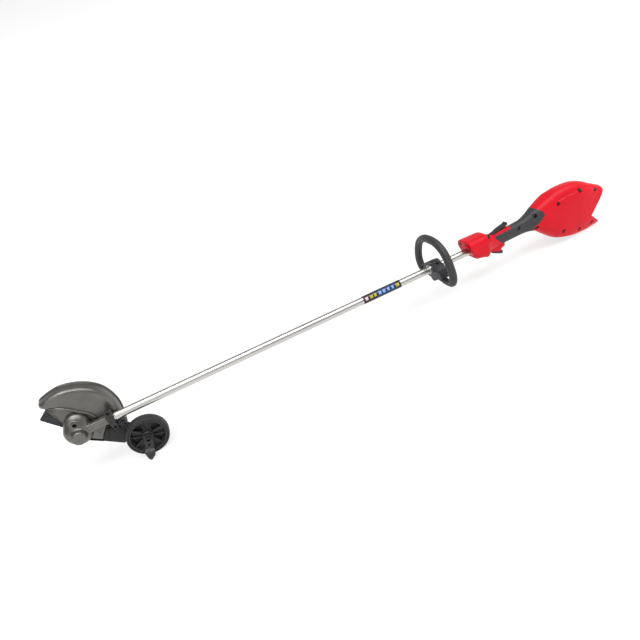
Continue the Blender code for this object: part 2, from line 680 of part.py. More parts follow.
FRONT_STATIONS = [(FRONT_START, -19, 35, 25, 2.6), (FRONT_START + 5, -26, 40, 32, 2.8),
                  (FRONT_START + 14, -31, 41.5, 36, 3.0), (1294, -36, 42, 38, 3.2),
                  (1327, -38.5, 42, 38, 3.3), (1336, -31, 40, 34, 3.0),
                  (1345, -28, 31, 28, 2.8), (1358, -27, 26, 24, 2.6),
                  (FRONT_END, -26, 21, 20, 2.4)]
GRIP_STATIONS = [(FRONT_END + GAP, -24, 21, 19.5, 2.4), (1410, -22.5, 21, 19.5, 2.4),
                 (1450, -22, 23, 19.5, 2.4), (1485, -22, 26, 20.5, 2.4),
                 (1512, -26, 37, 25, 2.5), (GRIP_END, -33, 46, 30, 2.6)]
REAR_STATIONS = [(GRIP_END + GAP, -34, 47, 31, 2.6), (1556, -53, 58, 37, 2.8),
                 (1585, -76, 70, 42, 3.0), (1615, -94, 77, 45, 3.1),
                 (1650, -102, 79, 46, 3.2), (1690, -104.5, 76, 46, 3.2),
                 (1725, -105, 65, 44, 3.1), (1755, -102, 48, 41, 3.0),
                 (REAR_END, -96, 28, 37, 2.9)]


def shell_pair(tool, name, stations, finish, open_front, cutters):
    """Left and right clamshell halves of a lofted housing."""
    outer = [rounded_ring(*station) for station in stations]
    inner = []
    for number, (x, low, high, half_width, squareness) in enumerate(stations):
        ends = {0: -5 if open_front else SHELL_WALL, len(stations) - 1: 5}
        inner.append(rounded_ring(x + ends.get(number, 0), low + SHELL_WALL,
                                  high - SHELL_WALL, half_width - SHELL_WALL, squareness))
    cavity = tool.helper(f"{name}_cavity", inner)
    start, end = stations[0][0] - 20, stations[-1][0] + 20
    for side, low, high in (("left", -80, -0.15), ("right", 0.15, 80)):
        half = tool.solid(f"{name}_{side}", outer, finish)
        keep(half, tool.helper(f"{name}_{side}_block",
                               box_rings((start, low, -200), (end, high, 200))))
        cut(half, cavity, *cutters)


def make_front_housing(tool):
    bore = tool.helper("front_tube_bore", turned_rings(
        rod_profile(FRONT_START - 10, FRONT_START + 20, TUBE_R + GAP), (0, 0, 0), "X", ROUND))
    trigger_slot = tool.helper("trigger_slot", box_rings((1350, -9.5, -70), (1412, 9.5, -18.5)))
    lock_slot = tool.helper("lock_slot", box_rings((1358, -9, 13), (1432, 9, 60)))
    shell_pair(tool, "front_housing", FRONT_STATIONS, "red_shell", False,
               (bore, trigger_slot, lock_slot))
    shell_pair(tool, "grip", GRIP_STATIONS, "grip_rubber", True, (trigger_slot, lock_slot))


def bay_point(along, inset, direction):
    """A point along one face of the battery bay, set in behind its rim."""
    normals = (Vector((BAY_UP.y, -BAY_UP.x)), Vector((-BAY_DOWN.y, BAY_DOWN.x)))
    spread = 1 + normals[0].dot(normals[1])
    corner = BAY_CORNER - (normals[0] + normals[1]) * inset / spread
    return tuple(corner + direction * along)


def make_rear_housing(tool):
    wedge = [tuple(BAY_CORNER), bay_point(106, 0, BAY_UP), (1880, 27), (1880, -175),
             bay_point(85, 0, BAY_DOWN)]
    bay = tool.helper("battery_bay", plate_rings(wedge, -80, 80))
    far = 400.0
    drop = math.tan(TILT)
    floor = [(FOOT[0] - far, FOOT[1] - far * drop), (FOOT[0] - far, FOOT[1] - far),
             (FOOT[0] + far, FOOT[1] - far), (FOOT[0] + far, FOOT[1] + far * drop)]
    floor_slab = tool.helper("floor_slab", plate_rings(floor, -80, 80))
    shell_pair(tool, "rear_housing", REAR_STATIONS, "red_shell", True, (bay, floor_slab))
    face, back = 2.5, 6.0
    dock = [bay_point(80, face, BAY_UP), bay_point(0, face, BAY_UP),
            bay_point(45, face, BAY_DOWN), bay_point(45, back, BAY_DOWN),
            bay_point(0, back, BAY_UP), bay_point(80, back, BAY_UP)]
    tool.bar("battery_dock", dock, -28, 28, "black_plastic")
    out = Vector((BAY_UP.y, -BAY_UP.x))
    base = Vector(bay_point(25, face, BAY_UP)) + out * GAP
    block = [base, base + BAY_UP * 35, base + BAY_UP * 35 + out * 8, base + out * 8]
    tool.bar("battery_terminal_block", [tuple(corner) for corner in block], -14, 14,
             "black_plastic")
    tool.bar("controller_board", [(1645, -82), (1704, -54), (1702, -48), (1643, -76)],
             -32, 32, "board")


def make_controls(tool):
    pivot = (TRIGGER_PIVOT[0], 0, TRIGGER_PIVOT[1])
    outline = (arc(TRIGGER_PIVOT, 4.2, 0, 190, 7)
               + [(1353, -34), (1358, -40), (1390, -54), (1396, -54), (1397, -45),
                  (1380, -39), (1368, -32)])
    trigger = tool.bar("trigger", outline, -8.8, 8.8, "black_plastic", pivot=pivot)
    cut(trigger, tool.helper("trigger_hole", turned_rings(
        rod_profile(-12, 12, 1.5 + GAP), pivot, "Y", 16)))
    tool.turned("trigger_pin", rod_profile(-9.2, 9.2, 1.5), "steel", pivot, "Y", sides=16)
    pivot = (LOCK_PIVOT[0], 0, LOCK_PIVOT[1])
    outline = (arc(LOCK_PIVOT, 4.2, 130, 270, 6)
               + [(1400, 26), (1424, 31.5), (1427, 34), (1427, 41), (1421, 42.5),
                  (1417, 38.5), (1390, 32.5)])
    lock = tool.bar("lock_lever", outline, -8, 8, "black_plastic", pivot=pivot)
    cut(lock, tool.helper("lock_hole", turned_rings(
        rod_profile(-12, 12, 1.5 + GAP), pivot, "Y", 16)))
    tool.turned("lock_pin", rod_profile(-8.7, 8.7, 1.5), "steel", pivot, "Y", sides=16)
    tool.bar("trigger_switch", [(1416, -16), (1446, -16), (1446, -6), (1416, -6)], -7, 7,
             "black_plastic")
    coil = []
    turns, steps, radius, wire = 4, 8, 2.6, 0.45
    for i in range(turns * steps + 1):
        turn = 2 * math.pi * i / steps
        coil.append((1384 + radius * math.cos(turn), radius * math.sin(turn),
                     -37.2 + 16.5 * i / (turns * steps)))
    tool.solid("trigger_spring", wire_rings(coil, wire, 5), "steel")


def wire_rings(path, radius, sides):
    rings = []
    for i, point in enumerate(path):
        ahead = Vector(path[min(i + 1, len(path) - 1)]) - Vector(path[max(i - 1, 0)])
        across = ahead.cross(Vector((0, 0, 1))).normalized()
        up = across.cross(ahead).normalized()
        rings.append([tuple(Vector(point) + (across * math.cos(2 * math.pi * k / sides)
                                             + up * math.sin(2 * math.pi * k / sides)) * radius)
                      for k in range(sides)])
    return rings


def make_motor(tool):
    tool.turned("shaft_coupler", [(1535, 4.3), (1535, 8), (1570, 8), (1570, 4.3)], "steel",
                closed=True)
    tool.turned("motor_rotor", [(1563, 0), (1563, 4), (1592, 4), (1592, 17), (1632, 17),
                                (1632, 4), (1664, 4), (1664, 0)], "dark_steel")
    tool.turned("motor_stator", [(1588, 20), (1588, 29), (1593, 33), (1631, 33), (1636, 29),
                                 (1636, 20)], "copper", sides=ROUND, closed=True)
    tool.turned("front_motor_bearing", tube_profile(1576, 1583, 4.3, 11), "steel", closed=True)
    tool.turned("rear_motor_bearing", tube_profile(1655, 1662, 4.3, 11), "steel", closed=True)
    tool.turned("cooling_fan", [(1641, 4.3), (1641, 30), (1643, 30), (1645, 12), (1651, 11),
                                (1651, 4.3)], "black_plastic", sides=ROUND, closed=True)


# ---------------------------------------------------------------- assembly

def stand_on_floor(tool):
    """Tips the tool onto the floor, centred over the origin."""
    tool.frame.rotation_euler = (0, TILT, 0)
    bpy.context.view_layer.update()
    graph = bpy.context.evaluated_depsgraph_get()
    corners = []
    for item in bpy.data.objects:
        if item.type == "MESH" and not item.hide_render:
            shown = item.evaluated_get(graph)
            corners += [shown.matrix_world @ vertex.co for vertex in shown.data.vertices]
    low = min(corner.x for corner in corners)
    high = max(corner.x for corner in corners)
    tool.frame.location = (-(low + high) / 2, 0, -min(corner.z for corner in corners))
    bpy.context.view_layer.update()


def main():
    clear_scene()
    tool = Tool()
    for make in (make_gear_case, make_arbor, make_guard, make_shaft_clamp, make_flap,
                 make_wheel, make_arm, make_depth_lever, make_shaft, make_loop_handle,
                 make_front_housing, make_rear_housing, make_controls, make_motor):
        make(tool)
    stand_on_floor(tool)


main()
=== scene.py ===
import json
import math

import bmesh
import bpy
from mathutils import Matrix, Vector


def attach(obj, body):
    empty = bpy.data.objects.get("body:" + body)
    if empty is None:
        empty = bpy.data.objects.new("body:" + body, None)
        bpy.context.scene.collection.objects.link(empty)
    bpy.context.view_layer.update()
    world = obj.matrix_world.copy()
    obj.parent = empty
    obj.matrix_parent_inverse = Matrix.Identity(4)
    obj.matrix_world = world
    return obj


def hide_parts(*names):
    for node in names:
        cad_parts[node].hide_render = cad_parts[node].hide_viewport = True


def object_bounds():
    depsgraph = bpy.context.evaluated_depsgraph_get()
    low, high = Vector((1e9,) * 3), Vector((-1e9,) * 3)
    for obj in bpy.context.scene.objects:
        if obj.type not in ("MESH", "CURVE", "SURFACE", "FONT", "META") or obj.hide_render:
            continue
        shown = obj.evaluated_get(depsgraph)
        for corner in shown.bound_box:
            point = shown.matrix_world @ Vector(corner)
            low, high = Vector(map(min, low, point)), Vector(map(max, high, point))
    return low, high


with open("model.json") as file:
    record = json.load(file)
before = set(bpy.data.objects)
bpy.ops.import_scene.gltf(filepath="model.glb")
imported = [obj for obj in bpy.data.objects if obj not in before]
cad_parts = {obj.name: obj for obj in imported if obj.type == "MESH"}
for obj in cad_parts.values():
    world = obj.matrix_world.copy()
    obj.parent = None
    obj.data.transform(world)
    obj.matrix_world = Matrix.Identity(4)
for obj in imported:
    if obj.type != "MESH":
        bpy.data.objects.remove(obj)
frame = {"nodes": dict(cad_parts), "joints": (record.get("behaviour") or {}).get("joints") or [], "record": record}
CAD_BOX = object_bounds()

# The looks of a battery stick lawn edger. Shapes are drawn in the shaft frame, in
# millimetres: X up the shaft from the blade's arbor, Y towards the blade side, Z up.
MM = 0.001
JOINTS = {joint["name"]: joint for joint in frame["joints"]}
ARBOR = Vector(JOINTS["blade_spin"]["pos_m"])
SHAFT = Vector(JOINTS["drive_spin"]["axis"]).normalized()
ACROSS = Vector((0, 1, 0))
LIFT = SHAFT.cross(ACROSS)
TOOL = Matrix((SHAFT, ACROSS, LIFT)).transposed().to_4x4()
TOOL.translation = ARBOR

HAIR = 0.3                 # gap between touching pieces
TUBE_R = 12.0
NECK_R = 14.2
BOSS_R = 20.0
GUARD_PANEL = 13.6
GUARD_RECESS = 15.4
GUARD_WALL = 2.2
BLADE_NEAR = 38.6
BLADE_FAR = 41.4
SPINDLE_R = 5.0
LOOP_X = 1151.0
LOOP_R = 12.1
LABEL_START, LABEL_END = 889.0, 1020.0
TYRE_INNER = 53.8
SHELL_WALL = 3.2


def local(point):
    """A row-frame point in the shaft frame, in millimetres."""
    return TOOL.inverted() @ Vector(point) / MM


def place_of(joint):
    place = TOOL.inverted() @ Vector(JOINTS[joint]["pos_m"])
    return (place.x / MM, place.z / MM)


def line_at(place):
    """The Y-wise line through an X-Z place, for turned shapes."""
    return (place[0], 0, place[1])


WHEEL = place_of("wheel_roll")
ARM_PIVOT = place_of("depth_swing")
TRIGGER_PIVOT = place_of("trigger_pull")
LOCK_PIVOT = place_of("lock_press")
WHEEL_LINE = line_at(WHEEL)
ARM_LINE = line_at(ARM_PIVOT)


# ---------------------------------------------------------------- camera, floor, lights

CAMERA_PLACE = (473.1, -1302.4, 717.7)
CAMERA_RIGHT = (0.8921, -0.3449, -0.2919)
CAMERA_FORWARD = (0.1783, 0.8623, -0.4740)
FOCAL_LENGTH = 28.125


def add_object(name, data):
    made = bpy.data.objects.new(name, data)
    bpy.context.collection.objects.link(made)
    return made


def make_camera():
    data = bpy.data.cameras.new("camera")
    data.sensor_width = 36.0
    data.lens = FOCAL_LENGTH
    data.clip_start = 0.01
    data.clip_end = 200.0
    camera = add_object("camera", data)
    turn = TOOL.to_3x3()
    back = -(turn @ Vector(CAMERA_FORWARD)).normalized()
    right = (turn @ Vector(CAMERA_RIGHT)).normalized()
    up = back.cross(right).normalized()
    right = up.cross(back)
    pose = Matrix((right, up, back)).transposed().to_4x4()
    pose.translation = TOOL @ (Vector(CAMERA_PLACE) * MM)
    camera.matrix_world = pose
    bpy.context.scene.camera = camera


def make_floor():
    mesh = bpy.data.meshes.new("floor")
    half = 40.0
    corners = [(-half, -half, 0), (half, -half, 0), (half, half, 0), (-half, half, 0)]
    mesh.from_pydata(corners, [], [(0, 1, 2, 3)])
    floor = add_object("floor", mesh)
    floor.location.z = CAD_BOX[0][2] - 0.0003
    material = bpy.data.materials.new("pale_floor")
    material.use_nodes = True
    shader = material.node_tree.nodes["Principled BSDF"]
    shader.inputs["Base Color"].default_value = (0.28, 0.28, 0.28, 1)
    shader.inputs["Roughness"].default_value = 0.9
    shader.inputs["Emission Color"].default_value = (1, 1, 1, 1)
    shader.inputs["Emission Strength"].default_value = 0.72
    mesh.materials.append(material)


def sun(name, towards, strength, spread):
    """A soft distant light that shines along a direction."""
    data = bpy.data.lights.new(name, "SUN")
    data.energy = strength
    data.angle = math.radians(spread)
    light = add_object(name, data)
    light.rotation_euler = Vector(towards).to_track_quat("-Z", "Y").to_euler()


def ramp(tree, value, start, end, low, high):
    """Maps a value from one range to another, as a node."""
    node = tree.nodes.new("ShaderNodeMapRange")
    for name, number in (("From Min", start), ("From Max", end), ("To Min", low),
                         ("To Max", high)):
        node.inputs[name].default_value = number
    tree.links.new(value, node.inputs["Value"])
    return node.outputs[0]


def combine(tree, operation, *values):
    """A maths node on other nodes' values or on plain numbers."""
    node = tree.nodes.new("ShaderNodeMath")
    node.operation = operation
    for socket, value in zip(node.inputs, values):
        if isinstance(value, float):
            socket.default_value = value
        else:
            tree.links.new(value, socket)
    return node.outputs[0]


def make_light():
    sun("key", (0.10, 0.30, -0.95), 1.8, 38)
    sun("key_right", (-0.50, 0.30, -0.90), 1.2, 38)
    sun("front", (0.5, 0.9, -0.5), 0.4, 40)
    world = bpy.data.worlds.new("studio")
    world.use_nodes = True
    tree = world.node_tree
    where = tree.nodes.new("ShaderNodeTexCoord")
    split = tree.nodes.new("ShaderNodeSeparateXYZ")
    tree.links.new(where.outputs["Generated"], split.inputs[0])
    height = ramp(tree, split.outputs["Z"], 0.12, 0.5, 1.02, 0.42)
    depth = ramp(tree, split.outputs["Y"], -0.7, 0.3, 0.45, 1.02)
    side = ramp(tree, split.outputs["X"], -0.95, -0.62, 0.25, 1.0)
    total = combine(tree, "MULTIPLY", combine(tree, "MINIMUM", height, depth), side)
    background = tree.nodes["Background"]
    tree.links.new(total, background.inputs["Strength"])
    background.inputs["Color"].default_value = (1, 1, 1, 1)
    bpy.context.scene.world = world
    bpy.context.scene.view_settings.view_transform = "Standard"


# ---------------------------------------------------------------- materials

def new_material(name, colour, roughness, metallic=0.0, shine=0.5):
    material = bpy.data.materials.new(name)
    material.use_nodes = True
    shader = material.node_tree.nodes["Principled BSDF"]
    shader.inputs["Base Color"].default_value = (*colour, 1)
    shader.inputs["Roughness"].default_value = roughness
    shader.inputs["Metallic"].default_value = metallic
    shader.inputs["Specular IOR Level"].default_value = shine
    return material


def add_noise(material, scale, detail=3.0, stretch=(1, 1, 1)):
    nodes, links = material.node_tree.nodes, material.node_tree.links
    where = nodes.new("ShaderNodeTexCoord")
    mapping = nodes.new("ShaderNodeMapping")
    mapping.inputs["Scale"].default_value = stretch
    noise = nodes.new("ShaderNodeTexNoise")
    noise.inputs["Scale"].default_value = scale
    noise.inputs["Detail"].default_value = detail
    links.new(where.outputs["Object"], mapping.inputs["Vector"])
    links.new(mapping.outputs[0], noise.inputs["Vector"])
    return noise.outputs["Fac"]


def vary(material, socket, value, low, high):
    """Feeds a shader socket from a 0 to 1 value, between two numbers or two colours."""
    nodes, links = material.node_tree.nodes, material.node_tree.links
    shader = nodes["Principled BSDF"]
    if isinstance(low, tuple):
        blend = nodes.new("ShaderNodeValToRGB")
        for stop, colour, place in zip(blend.color_ramp.elements, (low, high), (0.3, 0.7)):
            stop.color = (*colour, 1)
            stop.position = place
        links.new(value, blend.inputs["Fac"])
        links.new(blend.outputs["Color"], shader.inputs[socket])
        return
    links.new(ramp(material.node_tree, value, 0.3, 0.7, low, high), shader.inputs[socket])


def roughen(material, height, strength, depth):
    nodes, links = material.node_tree.nodes, material.node_tree.links
    shader = nodes["Principled BSDF"]
    bump = nodes.new("ShaderNodeBump")
    bump.inputs["Strength"].default_value = strength
    bump.inputs["Distance"].default_value = depth
    links.new(height, bump.inputs["Height"])
    if shader.inputs["Normal"].is_linked:
        links.new(shader.inputs["Normal"].links[0].from_socket, bump.inputs["Normal"])
    links.new(bump.outputs["Normal"], shader.inputs["Normal"])


def pebble(material, scale, strength, depth):
    """A moulded leather-like grain of small raised cells."""
    nodes, links = material.node_tree.nodes, material.node_tree.links
    where = nodes.new("ShaderNodeTexCoord")
    cells = nodes.new("ShaderNodeTexVoronoi")
    cells.inputs["Scale"].default_value = scale
    links.new(where.outputs["Object"], cells.inputs["Vector"])
    roughen(material, cells.outputs["Distance"], strength, depth)


def cast_paint(name, dark, light):
    material = new_material(name, dark, 0.36, 0.8)
    blotch = add_noise(material, 26, 4)
    vary(material, "Base Color", blotch, dark, light)
    vary(material, "Roughness", add_noise(material, 90, 3), 0.3, 0.42)
    roughen(material, add_noise(material, 900, 2), 0.25, 0.0002)
    return material


def drawn_metal(name, colour, roughness, stretch):
    material = new_material(name, colour, roughness, 1.0)
    lines = add_noise(material, 420, 3, stretch)
    vary(material, "Roughness", lines, roughness - 0.06, roughness + 0.08)
    shade = tuple(part * 0.93 for part in colour)
    vary(material, "Base Color", add_noise(material, 60, 3, stretch), shade, colour)
    roughen(material, lines, 0.12, 0.00005)
    return material


def moulded(name, colour, roughness, grain=1400, strength=0.2, shine=0.4):
    material = new_material(name, colour, roughness, 0.0, shine)
    shade = tuple(part * 0.86 for part in colour)
    vary(material, "Base Color", add_noise(material, 14, 3), shade, colour)
    vary(material, "Roughness", add_noise(material, 70, 3), roughness - 0.05, roughness + 0.06)
    roughen(material, add_noise(material, grain, 2), strength, 0.00012)
    return material


def make_finishes():
    made = { "clamp_casting": cast_paint("clamp_casting", (0.042, 0.042, 0.043), (0.06, 0.06,
        0.062)), "gear_casting": cast_paint("gear_casting", (0.135, 0.131, 0.122), (0.175, 0.17,
        0.158)), "guard_shell": cast_paint("guard_shell", (0.125, 0.122, 0.114), (0.16, 0.155,
        0.146)), "shaft_alloy": drawn_metal("shaft_alloy", (0.60, 0.59, 0.57), 0.27, (0.02, 1,
        1)), "bright_steel": drawn_metal("bright_steel", (0.62, 0.62, 0.63), 0.3, (1, 1, 1)),
        "dark_fasteners": drawn_metal("dark_fasteners", (0.055, 0.055, 0.057), 0.42, (1, 1, 1)),
        "red_plastic": moulded("red_plastic", (0.68, 0.006, 0.019), 0.38, shine=0.17),
        "black_plastic": moulded("black_plastic", (0.022, 0.023, 0.026), 0.46), "wheel_plastic":
        moulded("wheel_plastic", (0.024, 0.024, 0.026), 0.42, 1100), "tyre_rubber":
        moulded("tyre_rubber", (0.022, 0.022, 0.024), 0.62, 700, 0.35), "flap_rubber":
        moulded("flap_rubber", (0.012, 0.012, 0.014), 0.55, 600, 0.35), "copper_windings":
        drawn_metal("copper_windings", (0.7, 0.34, 0.16), 0.35, (1, 1, 1)), "rotor_steel":
        drawn_metal("rotor_steel", (0.14, 0.14, 0.145), 0.4, (90, 1, 1)), "circuit_board":
        moulded("circuit_board", (0.03, 0.16, 0.08), 0.5, 300, 0.6), }
    blade = new_material("blade_steel", (0.04, 0.041, 0.045), 0.42, 0.8)
    vary(blade, "Base Color", add_noise(blade, 40, 5), (0.026, 0.027, 0.03),
         (0.055, 0.056, 0.061))
    scratches = add_noise(blade, 500, 4, (1, 1, 0.05))
    vary(blade, "Roughness", scratches, 0.34, 0.58)
    roughen(blade, scratches, 0.2, 0.0001)
    made["blade_steel"] = blade
    grip = moulded("grip_rubber", (0.036, 0.036, 0.039), 0.5, 900, 0.15, 0.4)
    pebble(grip, 620, 0.45, 0.00035)
    made["grip_rubber"] = grip
    made["label_film"] = label_film()
    return made


def distance_along(material, way):
    """The distance from the arbor along a direction, in millimetres, as a node value."""
    tree = material.node_tree
    where = tree.nodes.new("ShaderNodeTexCoord")
    reach = tree.nodes.new("ShaderNodeVectorMath")
    reach.operation = "DOT_PRODUCT"
    reach.inputs[1].default_value = way / MM
    tree.links.new(where.outputs["Object"], reach.inputs[0])
    return combine(tree, "SUBTRACT", reach.outputs["Value"], ARBOR.dot(way) / MM)


def bands_of(material, value, bands):
    """A row of plain colours, one after another, along a 0 to 1 value."""
    stripes = material.node_tree.nodes.new("ShaderNodeValToRGB")
    stripes.color_ramp.interpolation = "CONSTANT"
    stops = stripes.color_ramp.elements
    for number, (place, colour) in enumerate(bands):
        stop = stops[number] if number < 2 else stops.new(place)
        stop.position = place
        stop.color = (*colour, 1)
    material.node_tree.links.new(value, stripes.inputs["Fac"])
    return stripes.outputs["Color"]


def label_film():
    """A dark band with plain blocks of yellow and pale blue, and no words or signs."""
    half_block = 4.6
    material = new_material("label_film", (0.02, 0.02, 0.02), 0.3)
    tree = material.node_tree
    span = ramp(tree, distance_along(material, SHAFT), LABEL_START, LABEL_END, 0.0, 1.0)
    black, brown, navy = (0.012, 0.012, 0.012), (0.03, 0.008, 0.008), (0.004, 0.025, 0.07)
    yellow, pale, blue = (0.42, 0.36, 0.02), (0.62, 0.55, 0.52), (0.22, 0.36, 0.85)
    ground = bands_of(material, span, [(0.0, brown), (0.16, black), (0.36, navy), (0.84, black)])
    blocks = bands_of(material, span, [(0.0, brown), (0.05, pale), (0.12, black), (0.17, yellow),
        (0.25, black), (0.28, yellow), (0.34, navy), (0.40, blue), (0.47, navy), (0.51, blue),
        (0.58, navy), (0.63, blue), (0.69, navy), (0.75, blue), (0.80, navy), (0.86, yellow),
        (0.95, black)])
    crosswise = (ACROSS * 0.482 + LIFT * 0.876).normalized()
    offset = combine(tree, "ABSOLUTE", distance_along(material, crosswise))
    paint = tree.nodes.new("ShaderNodeMix")
    paint.data_type = "RGBA"
    colours = [socket for socket in paint.inputs if socket.type == "RGBA"]
    tree.links.new(combine(tree, "LESS_THAN", offset, half_block), paint.inputs["Factor"])
    tree.links.new(ground, colours[0])
    tree.links.new(blocks, colours[1])
    colour = next(socket for socket in paint.outputs if socket.type == "RGBA")
    tree.links.new(colour, tree.nodes["Principled BSDF"].inputs["Base Color"])
    vary(material, "Roughness", add_noise(material, 80, 3), 0.26, 0.38)
    return material


FINISH = make_finishes()


# ---------------------------------------------------------------- mesh tools

def add_rows(bm, rows):
    """Rows of new vertices at points in the shaft frame."""
    return [[bm.verts.new(TOOL @ (Vector(point) * MM)) for point in row] for row in rows]


def from_bmesh(name, bm):
    mesh = bpy.data.meshes.new(name)
    bm.to_mesh(mesh)
    bm.free()
    return add_object(name, mesh)


def mesh_object(name, rings, closed=False):
    """A solid through rings of points in the shaft frame."""
    bm = bmesh.new()
    rows = add_rows(bm, rings)
    pairs = list(zip(rows, rows[1:])) + ([(rows[-1], rows[0])] if closed else [])
    for low, high in pairs:
        bridge(bm, low, high)
    if not closed:
        for row in (rows[0], rows[-1]):
            if len(row) > 2:
                bm.faces.new(row)
    bmesh.ops.recalc_face_normals(bm, faces=bm.faces)
    return from_bmesh(name, bm)


def bridge(bm, low, high):
    if len(low) == 1 or len(high) == 1:
        pole, row = (low[0], high) if len(low) == 1 else (high[0], low)
        for a, b in zip(row, row[1:] + row[:1]):
            bm.faces.new((pole, a, b))
        return
    for i in range(len(low)):
        j = (i + 1) % len(low)
        bm.faces.new((low[i], low[j], high[j], high[i]))


def settle(item):
    """Applies the modifiers."""
    graph = bpy.context.evaluated_depsgraph_get()
    mesh = bpy.data.meshes.new_from_object(item.evaluated_get(graph))
    item.modifiers.clear()
    item.data = mesh


def boolean(item, others, operation):
    for other in others:
        modifier = item.modifiers.new("shape", "BOOLEAN")
        modifier.operation = operation
        modifier.object = other
        settle(item)
        bpy.data.objects.remove(other, do_unlink=True)


def cut(item, *others):
    boolean(item, others, "DIFFERENCE")


def join(item, *others):
    boolean(item, others, "UNION")


def keep(item, *others):
    boolean(item, others, "INTERSECT")


def soften(item, width, segments=3, angle=30):
    """Rounds the edges that are sharper than the angle."""
    modifier = item.modifiers.new("rounded", "BEVEL")
    modifier.width = width * MM
    modifier.segments = segments
    modifier.limit_method = "ANGLE"
    modifier.angle_limit = math.radians(angle)
    settle(item)


def melt(item, voxel, rounds):
    """Blends joined shapes into one casting with natural fillets."""
    remesh = item.modifiers.new("remesh", "REMESH")
    remesh.mode = "VOXEL"
    remesh.voxel_size = voxel * MM
    smooth = item.modifiers.new("smooth", "SMOOTH")
    smooth.factor = 0.5
    smooth.iterations = rounds
    settle(item)


def dress(item, body, slot, *nodes, angle=32):
    """Gives a finished piece its finish and its body, and hides the CAD nodes that it stands for."""
    item.data.materials.clear()
    item.data.materials.append(FINISH[slot])
    item.data.shade_smooth()
    item.data.set_sharp_from_angle(angle=math.radians(angle))
    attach(item, body)
    if nodes:
        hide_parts(*nodes)
    return item


# ---------------------------------------------------------------- outlines and rings

def spot(axis, line, along, across, up):
    x, y, z = line
    if axis == "X":
        return (x + along, y + across, z + up)
    if axis == "Y":
        return (x + across, y + along, z + up)
    return (x + across, y + up, z + along)


def turned(profile, line=(0, 0, 0), axis="X", sides=64):
    """Rings of a profile of (distance along, radius) turned about a line."""
    rings = []
    for along, radius in profile:
        if radius == 0:
            rings.append([spot(axis, line, along, 0, 0)])
            continue
        rings.append([spot(axis, line, along, radius * math.cos(2 * math.pi * i / sides), radius *
            math.sin(2 * math.pi * i / sides)) for i in range(sides)])
    return rings


def lathe(name, profile, line=(0, 0, 0), axis="X", sides=64, closed=False):
    return mesh_object(name, turned(profile, line, axis, sides), closed)


def rod(start, end, radius):
    return [(start, 0), (start, radius), (end, radius), (end, 0)]


def drill(item, start, end, radius, line=(0, 0, 0), axis="Y", sides=32):
    """Cuts a round hole along a line."""
    cut(item, lathe("hole", rod(start, end, radius), line, axis, sides))


def pipe(start, end, inner, outer):
    return [(start, inner), (start, outer), (end, outer), (end, inner)]


def plate(outline, low, high):
    return [[(x, y, z) for x, z in outline] for y in (low, high)]


def slab(name, outline, low, high):
    return mesh_object(name, plate(outline, low, high))


def arc(centre, radius, first, last, count):
    points = []
    for i in range(count):
        turn = math.radians(first + (last - first) * i / (count - 1))
        points.append((centre[0] + radius * math.cos(turn),
                       centre[1] + radius * math.sin(turn)))
    return points


def curve(points, steps, closed=False):
    """Catmull-Rom points through the given ones, of any dimension."""
    path = []
    count = len(points)
    last = count if closed else count - 1
    for i in range(last):
        if closed:
            four = [points[(i + k) % count] for k in (-1, 0, 1, 2)]
        else:
            four = [points[min(max(i + k, 0), count - 1)] for k in (-1, 0, 1, 2)]
        for step in range(steps):
            t = step / steps
            path.append(tuple(
                0.5 * (2 * b + (c - a) * t + (2 * a - 5 * b + 4 * c - d) * t ** 2
                       + (3 * b - a - 3 * c + d) * t ** 3)
                for a, b, c, d in zip(*four)))
    if not closed:
        path.append(tuple(points[-1]))
    return path


def swept(path, radius, sides=20):
    """Rings of a round bar along any path."""
    rings = []
    guide = Vector((1, 0, 0))
    count = len(path)
    for i, point in enumerate(path):
        ahead = (Vector(path[min(i + 1, count - 1)]) - Vector(path[max(i - 1, 0)])).normalized()
        across = ahead.cross(guide)
        across = across.normalized() if across.length > 0.05 else Vector((0, 1, 0))
        up = across.cross(ahead).normalized()
        size = radius(i / (count - 1)) if callable(radius) else radius
        rings.append([tuple(Vector(point) + across * size * math.cos(2 * math.pi * k / sides) + up
            * size * math.sin(2 * math.pi * k / sides)) for k in range(sides)])
    return rings


def oval(x, low, high, half_width, squareness, count=180):
    middle, half_height = (low + high) / 2, (high - low) / 2
    power = 2 / squareness
    ring = []
    for i in range(count):
        turn = 2 * math.pi * (i + 0.5) / count
        side, up = math.cos(turn), math.sin(turn)
        ring.append((x, math.copysign(abs(side) ** power, side) * half_width,
                     middle + math.copysign(abs(up) ** power, up) * half_height))
    return ring


def box(low, high):
    outline = [(low[0], low[2]), (high[0], low[2]), (high[0], high[2]), (low[0], high[2])]
    return plate(outline, low[1], high[1])


def hexagon(start, end, bore, corner, line, axis, chamfer=0.8):
    """A hexagon nut with turned-off corners and a round bore."""
    sides = 48
    rings = []
    for along, reach in ((start, 0), (start, corner - 1.3), (start + chamfer, 99),
                         (end - chamfer, 99), (end, corner - 1.3), (end, 0)):
        ring = []
        for i in range(sides):
            turn = 2 * math.pi * i / sides
            from_flat = (turn % (math.pi / 3)) - math.pi / 6
            radius = corner * math.cos(math.pi / 6) / math.cos(from_flat)
            radius = bore if reach == 0 else min(radius, reach)
            ring.append(spot(axis, line, along, radius * math.cos(turn), radius * math.sin(turn)))
        rings.append(ring)
    return rings


def screw(name, line, axis, top, radius, body, slot, away=-1):
    """A visible socket screw head: a chamfered disc with a hexagon socket."""
    thick = 3.0
    low = top - away * thick
    head = lathe(name, [(low, 0), (low, radius), (top - away * 0.5, radius), (top, radius - 0.5),
        (top, 0)], line, axis, 32)
    drill(head, top + away * 2, top - away * 1.6, radius * 0.5, line, axis, 6)
    return dress(head, body, slot)


# ---------------------------------------------------------------- edger head

CASE_LOW, CASE_HIGH = Vector((-4, 0)), Vector((2, 22))
CASE_SCREW = (3, 0, 33)


